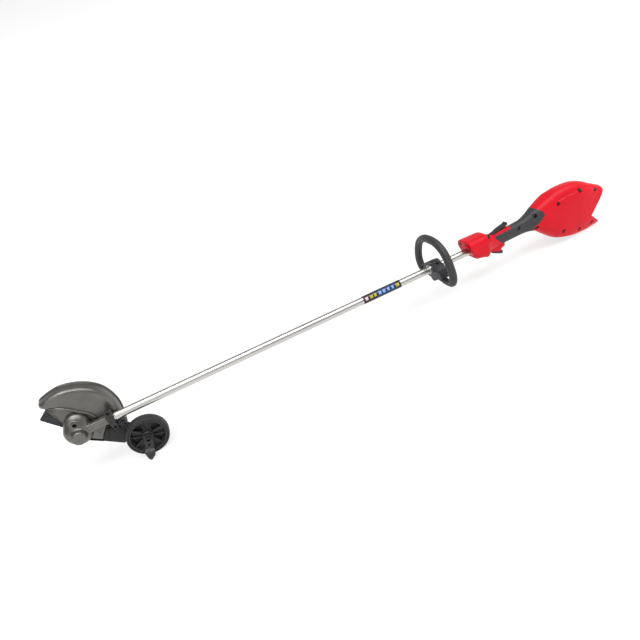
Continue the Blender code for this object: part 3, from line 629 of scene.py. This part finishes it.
def case_ring(y, low_radius, high_radius, share, sides=128):
    """Outline of the gear case: a hull of two circles, share of the way between centres."""
    steps = 16
    ring = []
    for i in range(sides):
        turn = 2 * math.pi * i / sides
        ray = Vector((math.cos(turn), math.sin(turn)))
        reach = 0.0
        for step in range(steps + 1):
            t = step / steps
            centre = CASE_LOW.lerp(CASE_HIGH, t) * share
            radius = low_radius + (high_radius - low_radius) * t
            along = ray.dot(centre)
            inside = radius ** 2 - centre.length_squared + along ** 2
            reach = max(reach, along + math.sqrt(inside)) if inside > 0 else reach
        ring.append((ray.x * reach, y, ray.y * reach))
    return ring


def make_gear_case():
    near = [(-33, 16.5), (-33, BOSS_R - 1.8), (-32.4, BOSS_R - 0.6), (-31, BOSS_R),
            (-19, BOSS_R + 0.4)]
    sections = curve([(-17.5, 21.3, 21, 0.03), (-15.5, 23.5, 22, 0.1), (-12.5, 28, 24, 0.35), (-8,
        33, 26, 0.65), (-2, 36.5, 30, 0.85), (5, 39, 32.5, 1.0), (GUARD_PANEL - HAIR, 40, 34,
        1.0)], 4)
    far = [(GUARD_PANEL - HAIR, 24.2), (21, 24.2), (21, 16.5)]
    rings = (turned(near, axis="Y", sides=128) + [case_ring(*section) for section in sections]
             + turned(far, axis="Y", sides=128))
    case = mesh_object("gear_housing", rings, closed=True)
    join(case, lathe("neck", [(17.5, 0), (17.5, NECK_R), (99, NECK_R), (99, 0)], sides=48))
    web = [(12, -30), (20, -41.5), (36, -53.5), (63, -22), (76, -2), (78, 8), (20, 8)]
    join(case, slab("web", web, 3, GUARD_PANEL - HAIR))
    join(case, lathe("rib", rod(12, 78, 2.8), (0, -9, 11.5), sides=24))
    join(case, lathe("lug", rod(5, GUARD_PANEL - HAIR, 3.8), (8, 0, 56), "Y", 32))
    join(case, lathe("boss", rod(-14.5, 0, 8.8), CASE_SCREW, "Y", 40))
    melt(case, 0.9, 5)
    drill(case, 40, 104, TUBE_R + HAIR, axis="X", sides=48)
    drill(case, -25, -4, 6.2, CASE_SCREW, sides=40)
    drill(case, -2, 11, 2.0, (8, 0, 56.5), sides=24)
    dress(case, "tool", "gear_casting", "gear_case")
    screw("case_screw", CASE_SCREW, "Y", -6.5, 5.2, "tool", "dark_fasteners")
    for number, x in enumerate((40, 45, 50, 55), start=1):
        fin = mesh_object(f"case_fin_{number}", box((x, 1.6, -69 + 0.85 * x), (x + 1.4, 4, -17)))
        soften(fin, 0.4, 2)
        dress(fin, "tool", "gear_casting")
    cap = lathe("case_cap", [(-36, 0), (-36, 14), (-35.7, 15.8), (-34.9, 17.6), (-33.8, 18.8),
        (-32.6, 19.2), (-32.6, 16), (-30.5, 16), (-30.5, 0)], axis="Y", sides=96)
    cut(cap, lathe("dimple", [(-40, 0), (-40, 5.2), (-35.2, 4.6), (-35.2, 0)], axis="Y",
        sides=32))
    dress(cap, "tool", "gear_casting", "gear_case_cap")


# edges of the guard's pan, from its front tip to its rear corner
PAN_TOP = [(-60, 47, 108), (-57.5, 48, 114.5), (-50, 49, 121), (-24, 49, 129), (4, 49, 133),
           (32, 49, 129), (61, 49, 118), (86, 49, 101), (105, 49, 79), (117, 49, 50),
           (122, 49, 22), (121, 49, -4), (116, 49, -30), (110, 48, -56)]
PAN_LOW = [(-60, 47, 108), (-60.5, 47, 101), (-55, 44, 96), (-43, 33, 93), (-19, 18, 86),
           (4, GUARD_PANEL, 71), (24, GUARD_PANEL, 52.5), (39, GUARD_PANEL, 38.5),
           (47, GUARD_PANEL, 27), (51, GUARD_PANEL, 16), (54, GUARD_PANEL, -8),
           (63, GUARD_PANEL, -36), (84, 24, -58), (110, 48, -56)]
# drop from the rim at distances in from the upper edge, as a share of the wall's height
PAN_WALL = [(0.0, 1.0), (0.1, 0.905), (0.6, 0.89), (3.0, 0.885), (3.6, 0.86), (4.0, 0.77),
            (4.7, 0.44), (6.2, 0.25), (8.6, 0.125), (11.5, 0.05), (14.5, 0.015), (19.0, 0.0)]
LOW_WALL = [(15.0, 0.0), (9.0, 0.08), (5.0, 0.3), (2.5, 0.65), (0.0, 1.0)]
# the lower plate, behind the pan's lower edge
SKIRT_TOP = [(-56, 45, 97.5), (-44, 35.5, 94.5), (-19, 20, 88.5), (5, GUARD_RECESS, 73.5),
             (26, GUARD_RECESS, 54.5), (41, GUARD_RECESS, 40.5), (49.5, GUARD_RECESS, 27),
             (53.5, GUARD_RECESS, 16), (56.5, GUARD_RECESS, -8), (66, GUARD_RECESS, -35)]
SKIRT_LOW = [(-55, 43, 93), (-48, 31, 89), (-40.5, 22, 75), (-33, 18, 61),
             (-29, GUARD_RECESS, 46), (-28, GUARD_RECESS, 26), (-30, GUARD_RECESS, 0),
             (-22, GUARD_RECESS, -30), (2, GUARD_RECESS, -45), (46, GUARD_RECESS, -50)]


def pan_columns():
    """Columns of points down the pan, from its rim to its lower edge."""
    columns = []
    steps = 6
    for top, low in zip(curve(PAN_TOP, steps)[1:-1], curve(PAN_LOW, steps)[1:-1]):
        top, low = Vector(top), Vector(low)
        span = Vector((low.x - top.x, 0, low.z - top.z))
        squeeze = min(1.0, span.length / 34)
        floor = GUARD_PANEL + max(0, min(top.y, low.y) - GUARD_PANEL) * (1 - squeeze)
        column = []
        for distance, share in PAN_WALL:
            place = top + span.normalized() * distance * squeeze
            column.append((place.x, floor + (top.y - floor) * share, place.z))
        for distance, share in LOW_WALL:
            place = low - span.normalized() * distance * squeeze
            column.append((place.x, floor + max(0, low.y - floor) * share, place.z))
        columns.append(column)
    return columns


def sheet(name, columns):
    """A thin wall through a grid of points, thickened towards the blade."""
    bm = bmesh.new()
    rows = add_rows(bm, columns)
    for low, high in zip(rows, rows[1:]):
        for i in range(len(low) - 1):
            bm.faces.new((low[i], low[i + 1], high[i + 1], high[i]))
    bmesh.ops.recalc_face_normals(bm, faces=bm.faces)
    if sum(face.normal.y * face.calc_area() for face in bm.faces) > 0:
        bmesh.ops.reverse_faces(bm, faces=bm.faces)
    made = from_bmesh(name, bm)
    wall = made.modifiers.new("wall", "SOLIDIFY")
    wall.thickness = GUARD_WALL * MM
    wall.offset = -1
    settle(made)
    return made


def make_guard():
    pan = sheet("guard_pan", pan_columns())
    rows = 10
    columns = []
    for top, low in zip(curve(SKIRT_TOP, 6), curve(SKIRT_LOW, 6)):
        columns.append([tuple(Vector(top).lerp(Vector(low), k / rows))
                        for k in range(rows + 1)])
    skirt = sheet("guard_lower_plate", columns)
    for item in (pan, skirt):
        drill(item, 5, 24, 24.6, sides=64)
        drill(item, 17, 119, NECK_R + 0.6, axis="X", sides=48)
    dress(pan, "tool", "guard_shell", "blade_guard", angle=40)
    dress(skirt, "tool", "guard_shell", angle=40)
    edge = [(x, max(y, GUARD_PANEL + 0.4) - 1.4, z) for x, y, z in curve(PAN_LOW, 6)[6:55]]
    bead = mesh_object("guard_bead", swept(edge, 4.2, 24))
    dress(bead, "tool", "guard_shell")
    rim = mesh_object("guard_skirt_edge", swept(curve(
        [(-53, 40, 92), (-48, 31, 89), (-40.5, 22, 75), (-33, 18, 61),
         (-29, GUARD_RECESS + 1, 47)], 6), 1.7, 12))
    dress(rim, "tool", "guard_shell")


def make_blade():
    length, width, snip = 101.5, 25.4, 3.0
    corners = [(length - snip, width), (length, width - snip), (length, snip - width),
               (length - snip, -width)]
    corners += [(-x, -z) for x, z in corners]
    turn = math.radians(127.5)
    outline = [(x * math.cos(turn) - z * math.sin(turn), x * math.sin(turn) + z * math.cos(turn))
               for x, z in corners]
    blade = slab("blade", outline, BLADE_NEAR, BLADE_FAR)
    soften(blade, 0.9, 1)
    drill(blade, 30, 50, SPINDLE_R + HAIR, sides=48)
    dress(blade, "blade_unit", "blade_steel", "edger_blade")
    spindle = lathe("spindle", [(-30, 0), (-30, SPINDLE_R)] + thread_profile(44, 53, SPINDLE_R,
        1.0) + [(53.5, SPINDLE_R - 1), (53.5, 0)], axis="Y", sides=32)
    dress(spindle, "blade_unit", "bright_steel", "blade_spindle")
    inner = lathe("inner_washer", [(24, SPINDLE_R + HAIR), (24, 12.4), (24.6, 13), (32.4, 13),
        (33.4, 14), (34.3, 19.3), (35, 20), (BLADE_NEAR - HAIR, 20), (BLADE_NEAR - HAIR, SPINDLE_R
        + HAIR)], axis="Y", closed=True)
    dress(inner, "blade_unit", "bright_steel", "inner_flange")
    outer = lathe("outer_washer", [(BLADE_FAR + HAIR, SPINDLE_R + HAIR), (BLADE_FAR + HAIR, 17),
        (BLADE_FAR + 1.2, 17), (BLADE_FAR + 2.2, 16), (BLADE_FAR + 3.5, 12.5), (BLADE_FAR + 3.5,
        SPINDLE_R + HAIR)], axis="Y", closed=True)
    dress(outer, "blade_unit", "bright_steel", "outer_flange")
    nut = mesh_object("lock_nut", hexagon(BLADE_FAR + 3.8, BLADE_FAR + 9.8, SPINDLE_R + HAIR, 8.7,
        (0, 0, 0), "Y"), closed=True)
    dress(nut, "blade_unit", "bright_steel", "blade_nut")


def thread_profile(start, end, radius, pitch):
    points = [(start, radius)]
    place = start
    while place < end - pitch:
        points += [(place + pitch * 0.5, radius - 0.5), (place + pitch, radius)]
        place += pitch
    return points


CLAMP_SCREWS = ((92.0, 25.5), (91.0, -21.5))


def make_clamp():
    near = -16.5
    outline = (arc(CLAMP_SCREWS[0], 9.5, 165, 10, 12) + [(99, 12), (97, -12)]
               + arc(CLAMP_SCREWS[1], 8.5, 20, -150, 12) + [(80, -17), (79, 14)])
    clamp = slab("clamp_casting", outline, near, near + 9)
    sleeve = lathe("sleeve", rod(80.5, 100, NECK_R + 3.8), sides=64)
    keep(sleeve, mesh_object("block", box((70, near + 4, -30), (110, GUARD_PANEL - HAIR, 30))))
    ear = slab("ear", [(84, -10), (101, -6)] + arc(ARM_PIVOT, 10.5, 45, -135, 16), -4, GUARD_PANEL
        - HAIR)
    join(clamp, sleeve, ear)
    melt(clamp, 0.8, 3)
    drill(clamp, 70, 115, NECK_R + HAIR, axis="X", sides=64)
    drill(clamp, -25, 25, 3.3, ARM_LINE)
    drill(clamp, -25, -14.5, 2.2, (86, 0, -4), sides=24)
    for number, (x, z) in enumerate(CLAMP_SCREWS, start=1):
        drill(clamp, -25, -11.9, 5.4, (x, 0, z))
        head = screw(f"clamp_screw_{number}", (x, 0, z), "Y", -13.4, 4.4, "tool",
                     "dark_fasteners")
        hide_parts(f"clamp_bolt_{number}")
    dress(clamp, "tool", "clamp_casting", "shaft_clamp")


def make_flap():
    outline = [(62, -24.5), (93, -36), (100, -43), (113, -52), (111, -80), (83, -93),
               (37.5, -56)]
    flap = slab("rubber_flap", outline, -1.5, 2.0)
    soften(flap, 1.0, 3)
    dress(flap, "tool", "flap_rubber", "debris_flap")
    fold = mesh_object("flap_fold", swept([(68, -1.2, -31), (53, -1.2, -62)], 1.4, 12))
    dress(fold, "tool", "flap_rubber")
    # A thin dark strip in the flap's rubber finish along the lower edge of the web, darkening that edge.
    edge_strip = slab("web_edge_strip", [(14, -39), (36, -56), (38, -58.5), (10, -37.5)], 0, 9)
    dress(edge_strip, "tool", "flap_rubber")
    for k in range(3):
        along = 0.2 + 0.3 * k
        x, z = 60 + 30 * along, -29 - 12 * along
        screw(f"flap_rivet_{k + 1}", (x, 0, z), "Y", -4.2, 3.0, "tool", "dark_fasteners")


def make_arm():
    outline = arc(ARM_PIVOT, 9, 35, 215, 20) + arc(WHEEL, 12, 215, 395, 24)
    arm = slab("depth_arm", outline, -11, -5)
    soften(arm, 1.0, 3, 50)
    for line in (ARM_LINE, WHEEL_LINE):
        drill(arm, -20, 5, 3.3, line)
    dress(arm, "arm_unit", "black_plastic", "wheel_arm")
    bolt = lathe("pivot_bolt", [(-16.5, 0), (-16.5, 5), (-16, 5.5), (-11.3, 5.5), (-11.3, 3), (6,
        3), (6, 0)], ARM_LINE, "Y", 32)
    drill(bolt, -20, -13.5, 2.9, ARM_LINE, sides=6)
    dress(bolt, "tool", "dark_fasteners", "arm_pivot_bolt")
    axle = lathe("axle", [(-53, 0), (-53, 4), (-52.4, SPINDLE_R), (-11.5, SPINDLE_R), (-11.5, 3),
        (-3, 3), (-3, 0)], WHEEL_LINE, "Y", 32)
    dress(axle, "arm_unit", "dark_fasteners", "wheel_axle")
    nut = mesh_object("axle_lock_nut", hexagon(-57, -51, SPINDLE_R + HAIR, 8.7, WHEEL_LINE, "Y"),
        closed=True)
    dress(nut, "arm_unit", "dark_fasteners", "axle_nut")


def make_wheel():
    rim = TYRE_INNER - HAIR
    profile = [(-39, 9), (-40, 10), (-40, 14), (-38.5, 15.2), (-35, 15.8), (-30, 17),
               (-29, 20), (-29.5, 43), (-33, 46.2), (-40, 47.6), (-41, 48.6), (-41, 51),
               (-40.2, 52.4), (-39, rim), (-13, rim), (-13, 48), (-18, 45.5), (-18, 17),
               (-15, 15), (-15, 9)]
    wheel = lathe("wheel_disc", profile, WHEEL_LINE, "Y", 120, closed=True)
    for k in range(5):
        facing = 36 + 72 * k
        pocket = (arc(WHEEL, 43, facing - 22, facing + 22, 16)
                  + arc(WHEEL, 19.5, facing + 10, facing - 10, 6))
        hollow = slab("pocket", pocket, -60, -21)
        soften(hollow, 3.0, 4, 50)
        cut(wheel, hollow)
    for k in range(5):
        turn = math.radians(72 * k)
        for side in (-1, 1):
            rail = []
            for reach in (16, 25, 35, 45.5):
                offset = side * (6.8 + 0.16 * (reach - 16))
                x = WHEEL[0] + reach * math.cos(turn) - offset * math.sin(turn)
                z = WHEEL[1] + reach * math.sin(turn) + offset * math.cos(turn)
                rail.append((x, -32.5 - 0.08 * (reach - 16), z))
            join(wheel, mesh_object("rail", spoke_rail(rail, turn)))
    dress(wheel, "wheel_unit", "wheel_plastic", "edger_wheel")

    shape = [(-41, TYRE_INNER), (-42, 55.6), (-41.4, 57.4), (-39.6, 58.7), (-36, 59.35),
             (-32, 59.5), (-27, 59.5), (-22, 59.5), (-18, 59.35), (-14.4, 58.7),
             (-12.6, 57.4), (-12, 55.6), (-13, TYRE_INNER)]
    sides, blocks = 288, 48
    rings = []
    for number, (along, radius) in enumerate(shape):
        ring = []
        for i in range(sides):
            turn = 2 * math.pi * i / sides
            shoulder = 2 <= number <= 4 or 8 <= number <= 10
            phase = (i * blocks / sides) % 1.0
            dip = 0.3 if shoulder and phase < 0.34 else 0.0
            ring.append(spot("Y", WHEEL_LINE, along, (radius - dip) * math.cos(turn), (radius -
                dip) * math.sin(turn)))
        rings.append(ring)
    tyre = mesh_object("tyre_band", rings, closed=True)
    dress(tyre, "wheel_unit", "tyre_rubber", "wheel_tyre", angle=50)
    bush = lathe("hub_bush", pipe(-41, -14, SPINDLE_R + HAIR, 8.7), WHEEL_LINE, "Y", 48,
        closed=True)
    dress(bush, "wheel_unit", "black_plastic", "wheel_bush")


def spoke_rail(path, turn):
    """A thin raised rib along one side of a spoke."""
    half = 1.3
    side = Vector((-math.sin(turn), 0, math.cos(turn))) * half
    front, back = Vector((0, -3.5, 0)), Vector((0, 6, 0))
    rings = []
    for point in path:
        middle = Vector(point)
        rings.append([tuple(middle - side + back), tuple(middle - side * 0.8 + front),
                      tuple(middle + side * 0.8 + front), tuple(middle + side + back)])
    return rings


def make_lever():
    tip = Vector((138.0, -139.3))
    start = Vector(WHEEL)
    reach = tip - start
    along = reach.normalized()
    across = Vector((-along.y, along.x))
    stations = [(6, -46.8, 11.5, 11.5, 6), (14, -46.9, 12.2, 12.2, 5.6),
                (22, -47.1, 12, 12, 5.2), (31, -49.2, 11.5, 11.2, 4.8),
                (38, -57, 16, 12.3, 4.6), (47, -63, 11.6, 12.3, 4.4),
                (53.5, -65.5, 8, 6.5, 4.2), (reach.length - 1, -67, 3.8, 3.6, 4),
                (reach.length, -67.3, 2.8, 2.8, 3.2)]
    rings = []
    for distance, y, low_side, high_side, thick in curve(stations, 4):
        middle = start + along * distance
        left, right = middle - across * low_side, middle + across * high_side
        rings.append([(left.x, y - thick / 2, left.y), (right.x, y - thick / 2, right.y),
                      (right.x, y + thick / 2, right.y), (left.x, y + thick / 2, left.y)])
    lever = mesh_object("height_lever", rings)
    join(lever, lathe("hub", rod(-50, -43.5, 12), WHEEL_LINE, "Y", 64))
    melt(lever, 0.6, 3)
    drill(lever, -80, -30, SPINDLE_R + HAIR, WHEEL_LINE, sides=48)
    drill(lever, -80, -30, 3.2, line_at(start + along * 22))
    dress(lever, "lever_unit", "wheel_plastic", "depth_lever")


# ---------------------------------------------------------------- shaft and loop handle

def make_shaft():
    tube = lathe("tube", pipe(62, 1332, TUBE_R - 1.5, TUBE_R), sides=96, closed=True)
    dress(tube, "tool", "shaft_alloy", "shaft_tube")
    band = lathe("colour_band", [(LABEL_START, TUBE_R + 0.3), (LABEL_START, TUBE_R + 0.6),
        (LABEL_START + 0.3, TUBE_R + 0.7), (LABEL_END - 0.3, TUBE_R + 0.7), (LABEL_END, TUBE_R +
        0.6), (LABEL_END, TUBE_R + 0.3)], sides=96, closed=True)
    dress(band, "tool", "label_film", "label_band")


def make_loop():
    side = [(-25.5, -30), (-62, -34), (-88, -27), (-97.5, -6), (-95.5, 18), (-86, 45),
            (-67, 73), (-36, 90.5)]
    points = side + [(0, 95)] + [(-y, z) for y, z in reversed(side)]
    path = curve([(LOOP_X, y, z) for y, z in points], 10)
    count = len(path)
    first, last = int(count * 0.115), int(count * 0.885)
    core = mesh_object("loop_core", swept(path, LOOP_R - 1.6, 28))
    dress(core, "handle_unit", "black_plastic")
    grip = mesh_object("loop_grip", swept(path[first:last + 1], grip_radius, 40))
    dress(grip, "handle_unit", "grip_rubber", "loop_handle")
    for number, place in ((1, first), (2, last)):
        ring = swept(path[place - 2:place + 3], LOOP_R - 0.4, 28)
        dress(mesh_object(f"loop_collar_{number}", ring), "handle_unit", "black_plastic")


def grip_radius(share):
    """Full size along the loop, eased in at both ends."""
    end = min(share, 1 - share) / 0.02
    return LOOP_R - 1.2 * max(0.0, 1 - end) ** 2


def make_handle_clamp():
    low, high, half = LOOP_X - 15, LOOP_X + 15, 24.0
    shoulder = [(half, -34), (half + 8, -26), (54, -22), (50, -8), (47, -HAIR)]
    base_line = ([(-y, z) for y, z in reversed(shoulder)] + arc((0, -30), 14, 200, 340, 16)
                 + shoulder)
    base = mesh_object("clamp_base", [[(x, y, z) for y, z in base_line] for x in (low, high)])
    soften(base, 2.2, 4, 25)
    slope = [(46, HAIR), (43, 5), (36, 10), (26, 15.5)]
    cap_line = slope + arc((0, 6), 19, 55, 125, 16) + [(-y, z) for y, z in reversed(slope)]
    cap = mesh_object("clamp_cap", [[(x, y, z) for y, z in cap_line] for x in (low, high)])
    soften(cap, 1.6, 4, 25)
    for item in (base, cap):
        drill(item, low - 5, high + 5, TUBE_R + HAIR, axis="X", sides=96)
    for number, y in enumerate((-18.5, 18.5), start=1):
        line = (LOOP_X, y, 0)
        drill(cap, 9, 30, 4.8, line, "Z")
        head = screw(f"clamp_head_{number}", line, "Z", 12.8, 4.4, "handle_unit",
                     "bright_steel", away=1)
        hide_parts(f"handle_bolt_{number}")
    dress(base, "handle_unit", "black_plastic", "handle_base")
    dress(cap, "handle_unit", "black_plastic", "handle_cap")
    spacer = lathe("split_ring", [(low - 10, TUBE_R + HAIR), (low - 10, 14), (low - 9.4, 14.6),
        (low - 0.9, 14.6), (low - HAIR, 14), (low - HAIR, TUBE_R + HAIR)], sides=64, closed=True)
    dress(spacer, "handle_unit", "shaft_alloy", "clamp_spacer")


# ---------------------------------------------------------------- power head

FRONT_STATIONS = [(1262, -23, 38, 34, 3.8), (1264.5, -26, 40.5, 36.5, 3.9), (1270, -28, 41.5, 38,
    3.7), (1300, -33, 42, 38, 3.3), (1327, -38.5, 42, 38, 3.2), (1337, -32, 39, 33.5, 3.0), (1346,
    -28, 31, 28, 2.8), (1358, -27, 26, 24, 2.6), (1378, -26, 21, 20, 2.4)]
GRIP_STATIONS = [(1410, -23, 21, 19.5, 2.4), (1450, -22, 23, 19.5, 2.4), (1485, -22, 26.5, 20.5,
    2.4), (1512, -26, 37, 25, 2.5)]
REAR_STATIONS = [(1532, -34, 47, 31, 2.6), (1556, -53, 58, 37, 2.8), (1585, -76, 70, 42, 3.0),
    (1615, -94, 77, 45, 3.1), (1650, -102, 79, 46, 3.2), (1690, -104.5, 76, 46, 3.2), (1725, -105,
    65, 44, 3.1), (1755, -102, 48, 41, 3.0), (1786, -97, 31.5, 39, 3.1), (1790, -96, 29, 38, 3.1)]
GRIP_FRONT = [(1392, 60), (1377, 24), (1366, 12), (1381, -3), (1390, -13), (1402, -20),
              (1414, -40)]
GRIP_BACK = [(1512, 70), (1520, 57), (1545, 36), (1551, 22), (1529, 0), (1514, -9), (1511, -60)]
CREASE = [(1585, 40), (1597, 43), (1619, 49), (1653, 51.5), (1686, 51.5), (1714, 49),
          (1735, 44), (1755, 36), (1765, 31)]


def shell_stations():
    return curve(FRONT_STATIONS + GRIP_STATIONS + REAR_STATIONS, 5)


def crease_height(x):
    """Height of the line along the rear housing's flank."""
    for (x0, z0), (x1, z1) in zip(CREASE, CREASE[1:]):
        if x0 <= x <= x1:
            return z0 + (z1 - z0) * (x - x0) / (x1 - x0)
    return CREASE[0][1] if x < CREASE[0][0] else CREASE[-1][1]


def side_crease(ring):
    """Steps the flank in above a line along the rear housing."""
    x = ring[0][0]
    line = crease_height(x)
    fade = min(max((x - 1590) / 20, 0), 1) * min(max((1762 - x) / 20, 0), 1)
    shaped = []
    for px, y, z in ring:
        above = min(max((z - line) / 1.4, 0), 1)
        groove = max(0, 1 - abs(z - line - 3.0) / 2.2)
        inset = (4.0 * above + 1.8 * groove) * fade * min(abs(y) / 20, 1)
        shaped.append((px, y - math.copysign(inset, y), z))
    return shaped


def lean(ring):
    """Slants the front face so that its top leads."""
    x = ring[0][0]
    share = min(max((1327 - x) / 55, 0), 1)
    return [(px + 20 * (max(0, 41 - z) / 61) ** 2 * share, y, z) for px, y, z in ring]


def shell_rings():
    outer, inner = [], []
    for x, low, high, half_width, squareness in shell_stations():
        outer.append(lean(side_crease(oval(x, low, high, half_width, squareness))))
        inner.append(lean(side_crease(oval(x - 0.01, low + SHELL_WALL, high - SHELL_WALL,
            half_width - SHELL_WALL, squareness))))
    return outer, inner


def region(name, front, back):
    """An X-Z region between two boundary lines that run from top to bottom."""
    return slab(name, front + list(reversed(back)), -90, 90)


def make_shells():
    outer, inner = shell_rings()
    start = [(1240, 120), (1240, -140)]
    end = [(1850, 120), (1850, -140)]
    split = 0.25
    lengths = (("front_housing", start, GRIP_FRONT, front_cutters),
               ("grip", GRIP_FRONT, GRIP_BACK, grip_cutters),
               ("rear_housing", GRIP_BACK, end, rear_cutters))
    for part, front, back, details in lengths:
        for side, low, high in (("left", -90, -0.15), ("right", 0.15, 90)):
            shell = mesh_object(f"{part.removesuffix('_housing')}_shell_{side}", outer)
            keep(shell, region("length", shift(front, split), shift(back, -split)))
            keep(shell, mesh_object("half", box((1200, low, -200), (1900, high, 200))))
            cut(shell, mesh_object("hollow", inner[5:-1]))
            cut(shell, *details(side))
            slot = "grip_rubber" if part == "grip" else "red_plastic"
            dress(shell, "tool", slot, f"{part}_{side}")


def shift(line, amount):
    return [(x + amount, z) for x, z in line]


def slots():
    return [mesh_object("trigger_slot", box((1350, -9.5, -70), (1412, 9.5, -18.5))),
            mesh_object("lock_slot", box((1358, -9, 13), (1432, 9, 60)))]


def front_cutters(side):
    cutters = slots()
    cutters.append(lathe("tube_bore", rod(1240, 1290, TUBE_R + HAIR), sides=64))
    y = -20 if side == "left" else 20
    for z in (27, -15):
        cutters.append(lathe("recess", rod(1255, 1273 + (27 - z) * 0.28, 5.2), (0, y, z), "X",
            24))
    if side == "left":
        cutters.append(side_hole(*FRONT_HOLE))
    return cutters


def grip_cutters(side):
    if side == "right":
        return slots()
    return slots() + [side_hole(x, z) for x, z in GRIP_HOLES]


REAR_HOLES = [(1600, 41), (1689, 50.5), (1753, 28), (1522, -14), (1613, -60), (1678, -79),
              (1731, -76)]
GRIP_HOLES = [(1459, 9), (1521, 28)]
FRONT_HOLE = (1341, 29)

BAY_CORNER = Vector((1728.0, -50.5))
BAY_UP = Vector((0.681, 0.732)).normalized()
BAY_DOWN = Vector((0.725, -0.689)).normalized()


def bay_point(along, inset, direction):
    """A point along one face of the battery bay, set in behind its rim."""
    normals = (Vector((BAY_UP.y, -BAY_UP.x)), Vector((-BAY_DOWN.y, BAY_DOWN.x)))
    spread = 1 + normals[0].dot(normals[1])
    corner = BAY_CORNER - (normals[0] + normals[1]) * inset / spread
    return tuple(corner + direction * along)


def rear_cutters(side):
    wedge = [tuple(BAY_CORNER), bay_point(106, 0, BAY_UP), (1880, 27), (1880, -175),
             bay_point(85, 0, BAY_DOWN)]
    foot = local(frame["record"]["mounts"][0]["pos_m"])
    drop = SHAFT.z / SHAFT.x
    span = 400
    ground = [(foot.x - span, foot.z + span * drop), (foot.x - span, foot.z - span),
              (foot.x + span, foot.z - span), (foot.x + span, foot.z - span * drop)]
    cutters = [slab("bay", wedge, -90, 90), slab("ground", ground, -90, 90)]
    if side == "left":
        cutters += [side_hole(x, z) for x, z in REAR_HOLES]
    return cutters


def flank(x, z):
    """Half-width of the shells at a place on their side."""
    stations = shell_stations()
    after = next(place for place, station in enumerate(stations) if station[0] >= x)
    start, end = stations[after - 1], stations[after]
    share = (x - start[0]) / (end[0] - start[0])
    low, high, half_width, squareness = (
        first + (last - first) * share for first, last in zip(start[1:], end[1:]))
    rise = min(abs(z - (low + high) / 2) / ((high - low) / 2), 0.99)
    width = half_width * (1 - rise ** squareness) ** (1 / squareness)
    return -side_crease([(x, -width, z)])[0][1]


def side_hole(x, z):
    depth = flank(x, z)
    return lathe("screw_recess", [(-depth - 15, 0), (-depth - 15, 7.0), (-depth + 5.5, 6.2),
        (-depth + 5.5, 0)], (x, 0, z), "Y", 24)


def make_shell_screws():
    for number, (x, z) in enumerate(REAR_HOLES + GRIP_HOLES + [FRONT_HOLE], start=1):
        depth = flank(x, z)
        head = lathe(f"shell_screw_{number}", [(-depth + 2.2, 0), (-depth + 2.2, 4.4), (-depth +
            2.8, 4.9), (-depth + 3.5, 5.1), (-depth + 3.7, 7.6), (-depth + 5.2, 7.6), (-depth +
            5.2, 0)], (x, 0, z), "Y", 24)
        dress(head, "tool", "dark_fasteners")


def make_dock():
    face, back = 2.5, 6.0
    outline = [bay_point(80, face, BAY_UP), bay_point(0, face, BAY_UP),
               bay_point(45, face, BAY_DOWN), bay_point(45, back, BAY_DOWN),
               bay_point(0, back, BAY_UP), bay_point(80, back, BAY_UP)]
    dock = slab("dock_plate", outline, -28, 28)
    soften(dock, 0.8, 2)
    dress(dock, "tool", "black_plastic", "battery_dock")
    out = Vector((BAY_UP.y, -BAY_UP.x))
    base = Vector(bay_point(25, face, BAY_UP)) + out * HAIR
    corners = [base, base + BAY_UP * 35, base + BAY_UP * 35 + out * 8, base + out * 8]
    block = slab("terminals", [tuple(corner) for corner in corners], -14, 14)
    soften(block, 0.9, 3)
    dress(block, "tool", "black_plastic", "battery_terminal_block")


def make_controls():
    outline = (arc(TRIGGER_PIVOT, 4.2, 0, 190, 12) + curve([(1353, -34), (1358, -40), (1374,
        -47.5), (1390, -54), (1396, -54), (1397, -45)], 4) + [(1380, -39), (1368, -32)])
    trigger = slab("trigger_lever", outline, -8.6, 8.6)
    soften(trigger, 1.4, 4, 40)
    drill(trigger, -12, 12, 1.8, line_at(TRIGGER_PIVOT), sides=24)
    spring_seat = (1383, 0, 0)
    drill(trigger, -45.5, -20, 6, spring_seat, "Z", 24)
    dress(trigger, "trigger_unit", "black_plastic", "trigger")
    outline = (arc(LOCK_PIVOT, 4.2, 130, 270, 10)
               + [(1400, 26), (1424, 31.5), (1427, 34), (1427, 41), (1421, 42.5),
                  (1417, 38.5), (1390, 32.5)])
    lock = slab("lock_off_lever", outline, -8, 8)
    soften(lock, 1.2, 4, 30)
    drill(lock, -12, 12, 1.8, line_at(LOCK_PIVOT), sides=24)
    dress(lock, "lock_unit", "black_plastic", "lock_lever")
    rail = [(1364, 10), (1364, 20), (1372, 22.5), (1430, 29), (1433, 26), (1432, 18)]
    shroud = [(1346, -20), (1358, -14), (1384, -12), (1405, -19), (1404, -30), (1392, -34),
              (1386, -43), (1368, -37), (1350, -30)]
    for name, shape, lows, thick, edge in (
            ("trigger_guard", shroud, (-12.6, 9.4), 3.2, 1.0),
            ("lock_rail", rail, (-13.5, 9.4), 4.1, 1.2)):
        for side, low in zip(("left", "right"), lows):
            flange = slab(f"{name}_{side}", shape, low, low + thick)
            soften(flange, edge, 3)
            dress(flange, "tool", "red_plastic")


def paint_rest():
    """The CAD nodes that stay get the finish of their material slot."""
    slot_of = {part["node"]: part["material_slot"] for part in frame["record"]["subparts"]}
    for name, node in frame["nodes"].items():
        if node.hide_render:
            continue
        node.data.materials.clear()
        node.data.materials.append(FINISH[slot_of[name]])


make_camera()
make_floor()
make_light()
for make in (make_gear_case, make_guard, make_blade, make_clamp, make_flap, make_arm,
             make_wheel, make_lever, make_shaft, make_loop, make_handle_clamp, make_shells,
             make_shell_screws, make_dock, make_controls):
    make()
paint_rest()
